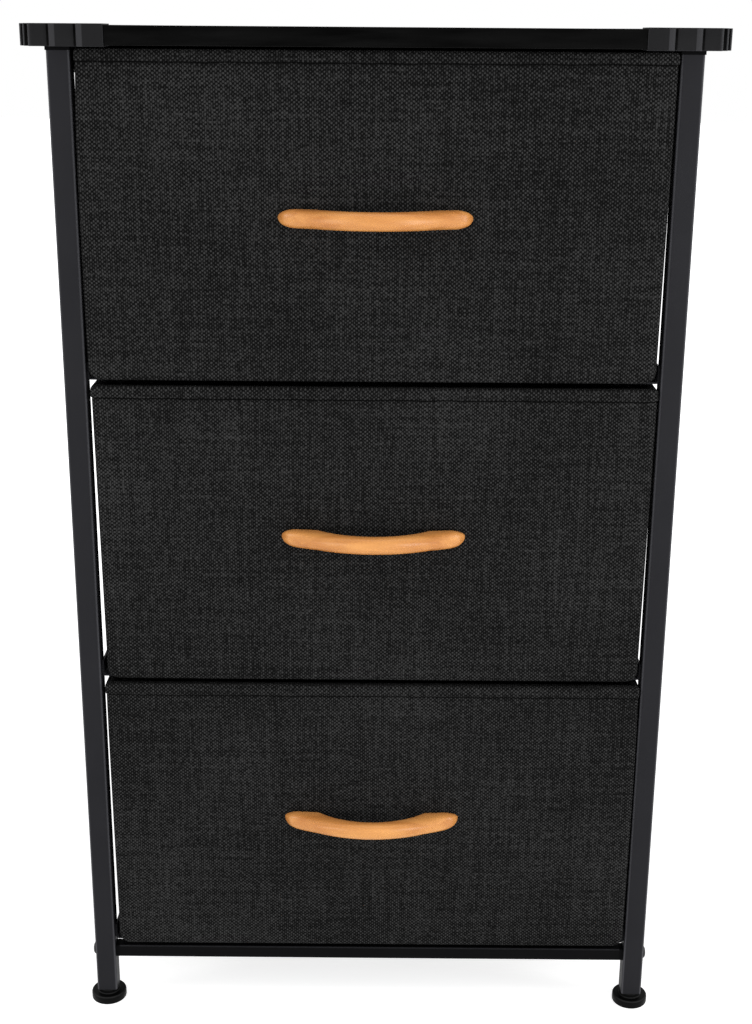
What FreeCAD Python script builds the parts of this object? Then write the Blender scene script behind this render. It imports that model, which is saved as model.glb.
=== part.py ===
"""Fabric drawer dresser: a steel tube frame, a capped top board and three fabric drawers.

Millimetres, +X to the right, +Y to the back, +Z up. The origin is on the floor, under the
middle of the whole object with its drawers shut.
"""
import FreeCAD, Part
import os
import re
import Sketcher

# Driving sizes, each one written once
SIZES = {
    # overall, over the corner caps and from the floor
    "total_width": 460,
    "total_depth": 300,
    "total_height": 711,
    # top board and its stepped corner caps
    "board_thickness": 12,
    "cap_lip": 0.9,
    "cap_fit": 0.1,
    "cap_past_screw": 14,
    "cap_first_step": 44.6,
    "cap_second_step": 26.5,
    "cap_step": 6.2,
    "cap_rounding": 3,
    "cap_end_inset": 6.5,
    # square tube legs
    "side_overhang": 23,
    "leg_side": 15,
    "front_overhang": 14,
    "rear_overhang": 14,
    "tube_wall": 1.2,
    "tube_corner": 2,
    "insert_gap": 0.1,
    "plug_head": 2.3,
    "plug_margin": 0.3,
    "plug_depth": 12,
    # screw-in feet
    "foot_height": 9.6,
    "foot_gap": 0.2,
    "foot_diameter": 26,
    "foot_disc": 6.2,
    "foot_edge": 1.8,
    "foot_bevel": 0.9,
    "foot_hub": 16,
    "foot_floor": 2.5,
    "stud_diameter": 6,
    "stud_gap": 0.06,
    "stud_rise": 16,
    "insert_depth": 20,
    # drawer rails, folded from steel strip
    "lowest_ledge": 52,
    "rail_thickness": 1.2,
    "rail_flange": 12,
    "rail_ledge": 20,
    "rail_bend": 1,
    "rail_setback": 6,
    # crossbars between the legs and what bolts them on
    "bar_side": 10,
    "bar_wall": 1,
    "bar_corner": 1.6,
    "front_bar_drop": 3.8,
    "rear_bar_rise": 100,
    "collar_length": 3,
    "collar_depth": 14,
    "bolt_diameter": 5,
    "bolt_gap": 0.25,
    "bolt_head": 9.5,
    "bolt_head_height": 2.2,
    "bolt_crown": 5.5,
    "bolt_bite": 11,
    # screws that hold the top
    "top_screw_inset": 48,
    "top_screw": 4,
    "top_screw_head": 8,
    "top_screw_head_height": 2,
    "top_screw_bite": 9,
    "screw_gap": 0.2,
    # fabric drawers, from the outer cover inwards
    "drawer_gap": 3.7,
    "drawer_head_gap": 0.9,
    "drawer_side_gap": 2.4,
    "drawer_taper": 1.9,
    "drawer_corner": 8,
    "drawer_edge": 2,
    "drawer_lift": 0.3,
    "drawer_proud": 3,
    "drawer_stop_gap": 0.5,
    "drawer_shift": 0.8,
    "cover_ply": 1,
    "lining_ply": 0.6,
    "ply_gap": 0.1,
    "front_board": 4,
    "side_board": 2.5,
    "back_board": 2.5,
    "base_board": 3,
    "base_gap": 2.5,
    # arched wooden pulls and their screws
    "handle_length": 126,
    "handle_reach": 26,
    "handle_height": 12,
    "handle_thickness": 10,
    "handle_tip": 9,
    "handle_pad": 24.5,
    "handle_nose": 9,
    "handle_edge": 4.4,
    "handle_arch_edge": 1.4,
    "handle_sawn": 3,
    "handle_rise": 108.4,
    "handle_screw_inset": 15,
    "handle_screw": 4,
    "handle_screw_head": 8.5,
    "handle_screw_head_height": 2.4,
    "handle_screw_bite": 10,
}

DRAWERS = ("lower", "middle", "upper")

# Places and sizes that follow from the driving sizes
PLACES = {
    "cap_height": "board_thickness + 2 * cap_lip",
    "cap_bottom": "total_height - cap_height",
    "board_inset": "cap_lip + cap_fit",
    "cap_reach": "top_screw_inset + cap_past_screw",
    "cap_end_width": "side_overhang + leg_side / 2 - cap_end_inset",
    "handle_beyond": "handle_reach + drawer_proud - front_overhang",
    "board_front": "(handle_beyond - total_depth) / 2",
    "board_rear": "board_front + total_depth",
    "leg_front": "board_front + front_overhang",
    "leg_rear": "board_rear - rear_overhang",
    "leg_span": "total_width - 2 * side_overhang",
    "leg_centre": "leg_span / 2 - leg_side / 2",
    "leg_inner": "leg_span / 2 - leg_side",
    "leg_top": "cap_bottom - plug_head",
    "leg_length": "leg_top - foot_height",
    "leg_bore": "leg_side - 2 * tube_wall",
    "insert_side": "leg_bore - 2 * insert_gap",
    "front_leg_axis": "leg_front + leg_side / 2",
    "rear_leg_axis": "leg_rear - leg_side / 2",
    "rail_length": "leg_rear - leg_front - 2 * rail_setback",
    "top_rail_length": "leg_rear - leg_front - 2 * leg_side",
    "front_bar_height": "lowest_ledge - rail_thickness - front_bar_drop - bar_side / 2",
    "bar_length": "2 * leg_inner - 2 * collar_length",
    "bar_bore": "bar_side - 2 * bar_wall",
    "bolt_hole": "bolt_diameter / 2 + bolt_gap",
    "bolt_length": "leg_side + collar_length + bolt_bite",
    "top_screw_hole": "top_screw / 2 + screw_gap",
    "drawer_stack": "cap_bottom - drawer_head_gap + drawer_gap - lowest_ledge",
    "drawer_pitch": f"drawer_stack / {len(DRAWERS)}",
    "drawer_height": "drawer_pitch - drawer_lift - drawer_gap",
    "drawer_top_width": "2 * leg_inner - 2 * drawer_side_gap",
    "drawer_bottom_width": "drawer_top_width - 2 * drawer_taper",
    "drawer_front": "leg_front - drawer_proud",
    "drawer_depth": "rear_leg_axis - bar_side / 2 - drawer_stop_gap - drawer_front",
    "board_skin": "cover_ply + ply_gap",
    "front_lining": "board_skin + front_board + ply_gap",
    "side_lining": "board_skin + side_board + ply_gap",
    "back_lining": "board_skin + back_board + ply_gap",
    "lining_corner": "drawer_corner - side_lining",
    "rim_height": "drawer_height - cover_ply",
    "handle_screw_hole": "handle_screw / 2 + screw_gap",
    "handle_screw_length": "front_lining + lining_ply + handle_screw_bite",
    "handle_gap_width": "handle_length - 2 * handle_pad",
    "handle_screw_pitch": "handle_length - 2 * handle_screw_inset",
    "handle_outer_sag": "handle_reach - handle_tip",
    "handle_outer_radius": "(handle_length ^ 2 / 4 + handle_outer_sag ^ 2) / (2 * handle_outer_sag)",
    "handle_arch": "handle_reach - handle_thickness",
    "handle_inner_radius": "(handle_gap_width ^ 2 / 4 + handle_arch ^ 2) / (2 * handle_arch)",
    "handle_inner_centre": "handle_inner_radius - handle_arch",
    "handle_inner_end": "sqrt(handle_inner_radius ^ 2 - (handle_inner_centre - handle_sawn) ^ 2)",
}

LEFT, RIGHT = -1, 1
FRONT, REAR = -1, 1
ALONG_X = FreeCAD.Vector(1, 0, 0)
ALONG_Y = FreeCAD.Vector(0, 1, 0)
ALONG_Z = FreeCAD.Vector(0, 0, 1)
NEAR = 1e-4

doc = FreeCAD.newDocument("dresser")
sheet = doc.addObject("Spreadsheet::Sheet", "Sizes")
for row, (alias, number) in enumerate(SIZES.items(), start=1):
    sheet.set(f"A{row}", alias)
    sheet.set(f"B{row}", str(number))
    sheet.setAlias(f"B{row}", alias)
doc.recompute()
pieces = []


def cells(formula):
    """The formula with its names spelled out as cells of the sheet."""
    def spell(match):
        name = match.group(0)
        if name in SIZES:
            return f"Sizes.{name}"
        if name in PLACES:
            return f"({cells(PLACES[name])})"
        return name
    return re.sub(r"[a-z_]+", spell, str(formula))


def bind(item, prop, formula):
    item.setExpression(prop, cells(formula))


def measure(formula):
    return float(sheet.evalExpression(cells(formula)))


def new_body(label):
    return doc.addObject("PartDesign::Body", label)


def place(item, x, y, z, turn=None):
    """Put a piece at formulas for x, y and z, turned about its own origin first."""
    if turn:
        item.Placement = FreeCAD.Placement(FreeCAD.Vector(), turn)
    for axis, formula in zip("xyz", (x, y, z)):
        bind(item, f"Placement.Base.{axis}", formula)


def keep(item):
    """List a finished piece: its label becomes its file's name."""
    pieces.append(item)
    return item


def new_sketch(body, plane, offset):
    sketch = body.newObject("Sketcher::SketchObject", "Sketch")
    support = [item for item in body.Origin.OriginFeatures if item.Role == plane]
    sketch.AttachmentSupport = [(support[0], "")]
    sketch.MapMode = "FlatFace"
    bind(sketch, "AttachmentOffset.Base.z", offset)
    return sketch


def pin_point(sketch, curve, point, x, y):
    """Fix one point of a sketch curve at formulas for x and y."""
    for kind, formula in (("DistanceX", x), ("DistanceY", y)):
        rule = Sketcher.Constraint(kind, -1, 1, curve, point, measure(formula))
        bind(sketch, f"Constraints[{sketch.addConstraint(rule)}]", formula)


def outline(body, plane, corners, offset="0"):
    """Sketch a closed run of straight lines through corners given as formulas."""
    sketch = new_sketch(body, plane, offset)
    points = [FreeCAD.Vector(measure(x), measure(y), 0) for x, y in corners]
    count = len(points)
    for here in range(count):
        sketch.addGeometry(Part.LineSegment(points[here], points[(here + 1) % count]), False)
    for here in range(count):
        sketch.addConstraint(Sketcher.Constraint("Coincident", here, 2, (here + 1) % count, 1))
    for here, (x, y) in enumerate(corners):
        pin_point(sketch, here, 1, x, y)
    return sketch


def circles(body, plane, centres, radius, offset="0"):
    """Sketch equal circles about centres given as formulas."""
    sketch = new_sketch(body, plane, offset)
    for x, y in centres:
        middle = FreeCAD.Vector(measure(x), measure(y), 0)
        curve = sketch.addGeometry(Part.Circle(middle, ALONG_Z, measure(radius)), False)
        pin_point(sketch, curve, 3, x, y)
        rule = sketch.addConstraint(Sketcher.Constraint("Radius", curve, measure(radius)))
        bind(sketch, f"Constraints[{rule}]", radius)
    return sketch


def square(side):
    half = f"({side}) / 2"
    return [(f"-{half}", f"-{half}"), (half, f"-{half}"), (half, half), (f"-{half}", half)]


def extrude(body, kind, sketch, length, flip=False):
    """Pad or pocket a sketch. A pad follows its plane's normal, a pocket goes against it."""
    feature = body.newObject(f"PartDesign::{kind}", kind)
    feature.Profile = sketch
    feature.Reversed = flip
    bind(feature, "Length", length)
    doc.recompute()
    return feature


def revolve(body, corners):
    """Turn an outline of radius and height formulas about the piece's Z axis."""
    sketch = outline(body, "XZ_Plane", corners)
    feature = body.newObject("PartDesign::Revolution", "Revolution")
    feature.Profile = sketch
    feature.ReferenceAxis = (sketch, ["V_Axis"])
    feature.Angle = 360
    doc.recompute()
    return feature


def round_edges(body, base, radius, wanted):
    """Round every edge of the base feature for which wanted(edge) holds."""
    names = [f"Edge{n}" for n, edge in enumerate(base.Shape.Edges, start=1) if wanted(edge)]
    feature = body.newObject("PartDesign::Fillet", "Fillet")
    feature.Base = (base, names)
    bind(feature, "Radius", radius)
    doc.recompute()
    return feature


def clip_edges(body, base, size, wanted):
    """Clip every edge of the base feature for which wanted(edge) holds."""
    names = [f"Edge{n}" for n, edge in enumerate(base.Shape.Edges, start=1) if wanted(edge)]
    feature = body.newObject("PartDesign::Chamfer", "Chamfer")
    feature.Base = (base, names)
    bind(feature, "Size", size)
    doc.recompute()
    return feature


def runs(edge, direction):
    """True for a straight edge along a direction."""
    if edge.Curve.TypeId != "Part::GeomLine":
        return False
    return edge.Curve.Direction.cross(direction).Length < NEAR


def level(edge, axis):
    """The edge's place on one axis if it is the same all along, else None."""
    low = getattr(edge.BoundBox, f"{axis}Min")
    high = getattr(edge.BoundBox, f"{axis}Max")
    return low if high - low < NEAR else None


def at(edge, axis, formula):
    here = level(edge, axis)
    return here is not None and abs(here - measure(formula)) < NEAR


def group(label, members):
    """Join like pieces into one node of separate solids."""
    node = doc.addObject("Part::Compound", label)
    node.Links = members
    return keep(node)


def square_tube(label, side, wall, corner, length):
    """Square tube with rounded corners, standing on its own origin along Z."""
    body = new_body(label)
    outside = extrude(body, "Pad", outline(body, "XY_Plane", square(side)), length)
    round_edges(body, outside, corner, lambda edge: runs(edge, ALONG_Z))
    bore = outline(body, "XY_Plane", square(f"{side} - 2 * {wall}"))
    extrude(body, "Pocket", bore, length, flip=True)
    return body


def drill(body, plane, centres, radius, offset, depth):
    """Straight round holes from a plane at an offset, along the plane's normal."""
    return extrude(body, "Pocket", circles(body, plane, centres, radius, offset), depth, flip=True)


def ledge_height(index):
    return f"lowest_ledge + {index} * drawer_pitch"


def rear_bar_height(index):
    return f"{ledge_height(index)} + rear_bar_rise"


# Four legs, with a hole for each crossbar bolt
SIDES = (("left", LEFT), ("right", RIGHT))
ENDS = (("front", FRONT, "front_leg_axis"), ("rear", REAR, "rear_leg_axis"))
BARS = [("front_crossbar", "front_leg_axis", "front_bar_height")]
for index, level_name in enumerate(DRAWERS):
    BARS.append((f"rear_crossbar_{level_name}", "rear_leg_axis", rear_bar_height(index)))

for end_name, _, axis in ENDS:
    heights = [height for _, bar_axis, height in BARS if bar_axis == axis]
    holes = [("0", f"{height} - foot_height") for height in heights]
    for side_name, side in SIDES:
        leg = square_tube(f"leg_{end_name}_{side_name}", "leg_side", "tube_wall", "tube_corner",
                          "leg_length")
        drill(leg, "YZ_Plane", holes, "bolt_hole", "-leg_side", "2 * leg_side")
        place(leg, f"{side} * leg_centre", axis, "foot_height")
        keep(leg)

# Plugs that close the leg tops and carry the corner caps
plugs = []
for end_name, end, axis in ENDS:
    for side_name, side in SIDES:
        plug = new_body(f"plug_{end_name}_{side_name}")
        shank = outline(plug, "XY_Plane", square("insert_side"))
        extrude(plug, "Pad", shank, "plug_depth", flip=True)
        wide = "leg_side / 2 + plug_margin"
        outer = f"{end} * ({wide})"
        inner = f"{-end} * leg_side / 2"
        rim = [(f"-({wide})", outer), (wide, outer), (wide, inner), (f"-({wide})", inner)]
        extrude(plug, "Pad", outline(plug, "XY_Plane", rim), "plug_head")
        place(plug, f"{side} * leg_centre", axis, "leg_top")
        plugs.append(plug)
group("leg_top_plugs", plugs)

# Screw-in feet, each a moulded disc on a steel stud, and the inserts that take the studs
inserts = []
for end_name, _, axis in ENDS:
    for side_name, side in SIDES:
        foot = new_body(f"foot_{end_name}_{side_name}")
        hub_top = "foot_height - foot_gap"
        pocket = "stud_diameter / 2"
        rim = "foot_diameter / 2"
        revolve(foot, [
            ("0", "0"), (f"{rim} - foot_bevel", "0"), (rim, "foot_bevel"),
            (rim, "foot_disc - foot_edge"), (f"{rim} - foot_edge", "foot_disc"),
            ("foot_hub / 2", "foot_disc"), ("foot_hub / 2", hub_top), (pocket, hub_top),
            (pocket, "foot_floor"), ("0", "foot_floor")])
        place(foot, f"{side} * leg_centre", axis, "0")
        keep(foot)

        stud = new_body(f"stud_{end_name}_{side_name}")
        radius = "stud_diameter / 2"
        stud_top = "foot_height + stud_rise"
        revolve(stud, [("0", "foot_floor"), (radius, "foot_floor"), (radius, stud_top),
                       ("0", stud_top)])
        place(stud, f"{side} * leg_centre", axis, "0")
        keep(stud)

        insert = new_body(f"insert_{end_name}_{side_name}")
        block = outline(insert, "XY_Plane", square("insert_side"))
        extrude(insert, "Pad", block, "insert_depth")
        drill(insert, "XY_Plane", [("0", "0")], "stud_diameter / 2 + stud_gap", "0", "insert_depth")
        place(insert, f"{side} * leg_centre", axis, "foot_height")
        inserts.append(insert)
group("leg_foot_inserts", inserts)

# Drawer rails: steel strip folded to an L, its ends welded to the inner faces of the legs
for index, level_name in enumerate(DRAWERS):
    for side_name, side in SIDES:
        rail = new_body(f"{level_name}_rail_{side_name}")
        skin = f"{-side} * rail_thickness"
        reach = f"{-side} * rail_ledge"
        strip = outline(rail, "XZ_Plane", [
            ("0", "-rail_thickness"), (reach, "-rail_thickness"), (reach, "0"), (skin, "0"),
            (skin, "rail_flange - rail_thickness"), ("0", "rail_flange - rail_thickness")])
        folded = extrude(rail, "Pad", strip, "rail_length", flip=True)
        folded = round_edges(rail, folded, "rail_bend", lambda edge: (
            runs(edge, ALONG_Y) and at(edge, "X", skin) and at(edge, "Z", "0")))
        round_edges(rail, folded, "rail_bend + rail_thickness", lambda edge: (
            runs(edge, ALONG_Y) and at(edge, "X", "0") and at(edge, "Z", "-rail_thickness")))
        place(rail, f"{side} * leg_inner", "leg_front + rail_setback", ledge_height(index))
        keep(rail)

# Top rails from front leg to rear leg, drilled for the screws of the top
top_screw_places = ("board_front + top_screw_inset", "board_rear - top_screw_inset")
along_depth = FreeCAD.Rotation(ALONG_X, -90)
for side_name, side in SIDES:
    rail = square_tube(f"top_rail_{side_name}", "leg_side", "tube_wall", "tube_corner",
                       "top_rail_length")
    holes = [("0", f"{spot} - leg_front - leg_side") for spot in top_screw_places]
    sketch = circles(rail, "XZ_Plane", holes, "top_screw_hole", "-leg_side")
    extrude(rail, "Pocket", sketch, "2 * leg_side", flip=True)
    place(rail, f"{side} * leg_centre", "leg_front + leg_side", "cap_bottom - leg_side / 2",
          along_depth)
    keep(rail)

# Crossbars, the moulded plugs in their ends, and the bolts that come in through the legs
collars = []
bolts = []
along_width = FreeCAD.Rotation(ALONG_Y, 90)
for name, axis, height in BARS:
    bar = square_tube(name, "bar_side", "bar_wall", "bar_corner", "bar_length")
    place(bar, "-bar_length / 2", axis, height, along_width)
    keep(bar)
    for side_name, side in SIDES:
        inward = FreeCAD.Rotation(ALONG_Y, -90 * side)
        collar = new_body(f"collar_{name}_{side_name}")
        head = extrude(collar, "Pad", outline(collar, "XY_Plane", square("bar_side")),
                       "collar_length")
        round_edges(collar, head, "bar_corner", lambda edge: runs(edge, ALONG_Z))
        stem = square("bar_bore - 2 * insert_gap")
        stem = outline(collar, "XY_Plane", stem, "collar_length")
        extrude(collar, "Pad", stem, "collar_depth")
        drill(collar, "XY_Plane", [("0", "0")], "bolt_hole", "0", "collar_length + collar_depth")
        place(collar, f"{side} * leg_inner", axis, height, inward)
        collars.append(collar)

        bolt = new_body(f"bolt_{name}_{side_name}")
        shank = "bolt_diameter / 2"
        revolve(bolt, [
            ("0", "-bolt_head_height"), ("bolt_crown / 2", "-bolt_head_height"),
            ("bolt_head / 2", "0"), (shank, "0"), (shank, "bolt_length"), ("0", "bolt_length")])
        place(bolt, f"{side} * leg_span / 2", axis, height, inward)
        bolts.append(bolt)
group("crossbar_end_plugs", collars)
group("frame_bolts", bolts)


def stepped_corner(inset, toward_x, toward_y):
    """One corner's stepped outline, run from the front or rear edge round to the side edge.

    The corner falls back in two steps from each edge. Places count from the corner of the
    object's plan towards its middle, and inset draws the whole outline in.
    """
    first, second = f"cap_first_step + {inset}", f"cap_second_step + {inset}"
    rows = [inset, f"cap_step + {inset}", f"2 * cap_step + {inset}"]
    run = [(first, rows[0]), (first, rows[1]), (second, rows[1]), (second, rows[2]),
           (rows[2], rows[2])]
    run += [(y, x) for x, y in reversed(run[:-1])]
    return [(f"{toward_x} * ({x})", f"{toward_y} * ({y})") for x, y in run]


def turns_out(edge, inset, corner_x, corner_y):
    """True for an upright edge where the stepped outline of a corner turns outwards."""
    if not runs(edge, ALONG_Z):
        return False
    across = abs(abs(edge.CenterOfMass.x) - measure(corner_x))
    back = abs(abs(edge.CenterOfMass.y) - measure(corner_y))
    near, far = min(across, back), max(across, back)
    rows = [measure(f"{steps} * cap_step + {inset}") for steps in range(3)]
    ends = [measure(f"cap_first_step + {inset}"), measure(f"cap_second_step + {inset}"), rows[2]]
    return any(abs(near - a) < NEAR and abs(far - b) < NEAR for a, b in zip(rows, ends))


# Top board, its corners stepped to sit inside the caps
board = new_body("top_board")
plan = []
for side, end in ((RIGHT, REAR), (LEFT, REAR), (LEFT, FRONT), (RIGHT, FRONT)):
    corner = [(f"{side} * total_width / 2 + {x}", f"{end} * total_depth / 2 + {y}")
              for x, y in stepped_corner("board_inset", -side, -end)]
    plan += corner if side * end < 0 else corner[::-1]
slab = extrude(board, "Pad", outline(board, "XY_Plane", plan), "board_thickness")
clip_edges(board, slab, "cap_rounding - board_inset", lambda edge: (
    turns_out(edge, "board_inset", "total_width / 2", "total_depth / 2")))
pilots = [(f"{side} * leg_centre", f"{end} * (total_depth / 2 - top_screw_inset)")
          for side in (LEFT, RIGHT) for end in (FRONT, REAR)]
drill(board, "XY_Plane", pilots, "top_screw_hole", "0", "top_screw_bite + screw_gap")
place(board, "0", "board_front + total_depth / 2", "cap_bottom + cap_lip")
keep(board)

# Moulded corner caps, stepped in plan and slotted to grip the board
for end_name, end, _ in ENDS:
    for side_name, side in SIDES:
        cap = new_body(f"corner_cap_{end_name}_{side_name}")

        def from_corner(x, y):
            return (f"{-side} * ({x})", f"{-end} * ({y})")

        shape = stepped_corner("0", -side, -end)
        shape += [from_corner("0", "cap_reach"), from_corner("cap_end_width", "cap_reach"),
                  from_corner("cap_reach", "cap_end_width"), from_corner("cap_reach", "0")]
        solid = extrude(cap, "Pad", outline(cap, "XY_Plane", shape), "cap_height")
        solid = round_edges(cap, solid, "cap_rounding", lambda edge: turns_out(edge, "0", "0", "0"))
        seat = stepped_corner("cap_lip", -side, -end)
        seat += [from_corner("cap_lip", "2 * cap_reach"),
                 from_corner("2 * cap_reach", "2 * cap_reach"),
                 from_corner("2 * cap_reach", "cap_lip")]
        seat = outline(cap, "XY_Plane", seat, "cap_lip")
        solid = extrude(cap, "Pocket", seat, "board_thickness", flip=True)
        clip_edges(cap, solid, "cap_rounding - cap_lip", lambda edge: (
            turns_out(edge, "cap_lip", "0", "0")))
        hole = from_corner("total_width / 2 - leg_centre", "top_screw_inset")
        drill(cap, "XY_Plane", [hole], "top_screw_hole", "0", "cap_lip")
        place(cap, f"{side} * total_width / 2",
              f"board_front + total_depth / 2 + {end} * total_depth / 2", "cap_bottom")
        keep(cap)

# Screws up through the top rails and the caps into the board
top_screws = []
for side_name, side in SIDES:
    for end_name, spot in zip(("front", "rear"), top_screw_places):
        screw = new_body(f"top_screw_{end_name}_{side_name}")
        shank_end = "leg_side + cap_lip + top_screw_bite"
        revolve(screw, [
            ("0", "-top_screw_head_height"), ("top_screw_head / 2", "-top_screw_head_height"),
            ("top_screw_head / 2", "0"), ("top_screw / 2", "0"), ("top_screw / 2", shank_end),
            ("0", shank_end)])
        place(screw, f"{side} * leg_centre", spot, "cap_bottom - leg_side")
        top_screws.append(screw)
group("top_screws", top_screws)


def half_width(height):
    """Half the drawer's outside width at a height above its underside."""
    return ("(drawer_bottom_width / 2 + (drawer_top_width - drawer_bottom_width) / 2"
            f" * ({height}) / drawer_height)")


def tapered(inset, low, high):
    """Corners of the drawer's cross section between two heights, drawn in by an inset."""
    bottom = f"({half_width(low)} - ({inset}))"
    top = f"({half_width(high)} - ({inset}))"
    return [(f"-{bottom}", low), (bottom, low), (top, high), (f"-{top}", high)]


def slab_along_y(body, corners, start, length):
    """Extrude a cross section from a start behind the drawer's front, towards the back."""
    sketch = outline(body, "XZ_Plane", corners, f"-({start})")
    return extrude(body, "Pad", sketch, length, flip=True)


def hollow_along_y(body, corners, start, length):
    return extrude(body, "Pocket", outline(body, "XZ_Plane", corners, f"-({start})"), length)


def bottom_edges(low):
    return lambda edge: runs(edge, ALONG_Y) and at(edge, "Z", low)


def screw_holes(body, start, depth):
    """Holes for the two screws of the pull, through a wall of the drawer's front."""
    spots = [(f"{side} * handle_screw_pitch / 2", "handle_rise") for side in (LEFT, RIGHT)]
    sketch = circles(body, "XZ_Plane", spots, "handle_screw_hole", f"-({start})")
    extrude(body, "Pocket", sketch, depth)


def fabric_cover(label):
    """Outer fabric: a five-sided tub, with its rim turned in over the boards."""
    body = new_body(label)
    slab_along_y(body, tapered("0", "0", "drawer_height"), "0", "drawer_depth")
    room = tapered("cover_ply", "cover_ply", "rim_height")
    tub = hollow_along_y(body, room, "cover_ply", "drawer_depth - 2 * cover_ply")
    tub = round_edges(body, tub, "drawer_corner - cover_ply", bottom_edges("cover_ply"))
    tub = round_edges(body, tub, "drawer_corner", bottom_edges("0"))
    round_edges(body, tub, "drawer_edge", lambda edge: (
        at(edge, "Y", "0") and not at(edge, "Z", "drawer_height")))
    side = "drawer_top_width / 2 - side_lining - lining_ply"
    near = "front_lining + lining_ply"
    far = "drawer_depth - back_lining - lining_ply"
    mouth = [(f"-({side})", near), (side, near), (side, far), (f"-({side})", far)]
    extrude(body, "Pocket", outline(body, "XY_Plane", mouth, "drawer_height"), "board_skin")
    screw_holes(body, "0", "board_skin")
    return body


def fabric_lining(label):
    """Inner fabric: a thin tub inside the boards, open at the top."""
    body = new_body(label)
    length = "drawer_depth - front_lining - back_lining"
    outside = tapered("side_lining", "board_skin", "rim_height - ply_gap")
    slab_along_y(body, outside, "front_lining", length)
    floor = "board_skin + lining_ply"
    inside = tapered("side_lining + lining_ply", floor, "drawer_height")
    tub = hollow_along_y(body, inside, "front_lining + lining_ply", f"{length} - 2 * lining_ply")
    tub = round_edges(body, tub, "lining_corner - lining_ply", bottom_edges(floor))
    round_edges(body, tub, "lining_corner", bottom_edges("board_skin"))
    screw_holes(body, "front_lining", "lining_ply")
    return body


def upright_board(label, start, thickness):
    """Stiff board that fills the front or the back of the cover."""
    body = new_body(label)
    corners = tapered("board_skin", "board_skin", "rim_height - ply_gap")
    panel = slab_along_y(body, corners, start, thickness)
    round_edges(body, panel, "drawer_corner - cover_ply", bottom_edges("board_skin"))
    return body


def side_board(label, side):
    """Stiff board between the front and back boards, upright at the drawer's own slant."""
    body = new_body(label)
    low, high = "drawer_corner", "rim_height - ply_gap"
    rows = [("board_skin", low), ("board_skin + side_board", low),
            ("board_skin + side_board", high), ("board_skin", high)]
    corners = [(f"{side} * ({half_width(height)} - ({inset}))", height) for inset, height in rows]
    slab_along_y(body, corners, "front_lining", "drawer_depth - front_lining - back_lining")
    return body


def loose_base(label):
    """Loose stiff board that lies on the lining's floor."""
    body = new_body(label)
    floor = "board_skin + lining_ply"
    side = f"{half_width(floor)} - drawer_corner - base_gap"
    near = "front_lining + lining_ply + base_gap"
    far = "drawer_depth - back_lining - lining_ply - base_gap"
    plan = [(f"-({side})", near), (side, near), (side, far), (f"-({side})", far)]
    extrude(body, "Pad", outline(body, "XY_Plane", plan, floor), "base_board")
    return body


def arc_below(centre_y, radius, end_x, end_y):
    """Arc that hangs below its centre on the Y axis, from its left end to its right end."""
    middle = FreeCAD.Vector(0, measure(centre_y), 0)
    right = FreeCAD.Vector(measure(end_x), measure(end_y), 0) - middle
    turn = ALONG_X.getAngle(right)
    start = FreeCAD.Vector(-1, 0, 0)
    sign = -1 if right.y < 0 else 1
    circle = Part.Circle(middle, ALONG_Z, measure(radius))
    return Part.ArcOfCircle(circle, start.getAngle(ALONG_X) - sign * turn, sign * turn)


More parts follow.
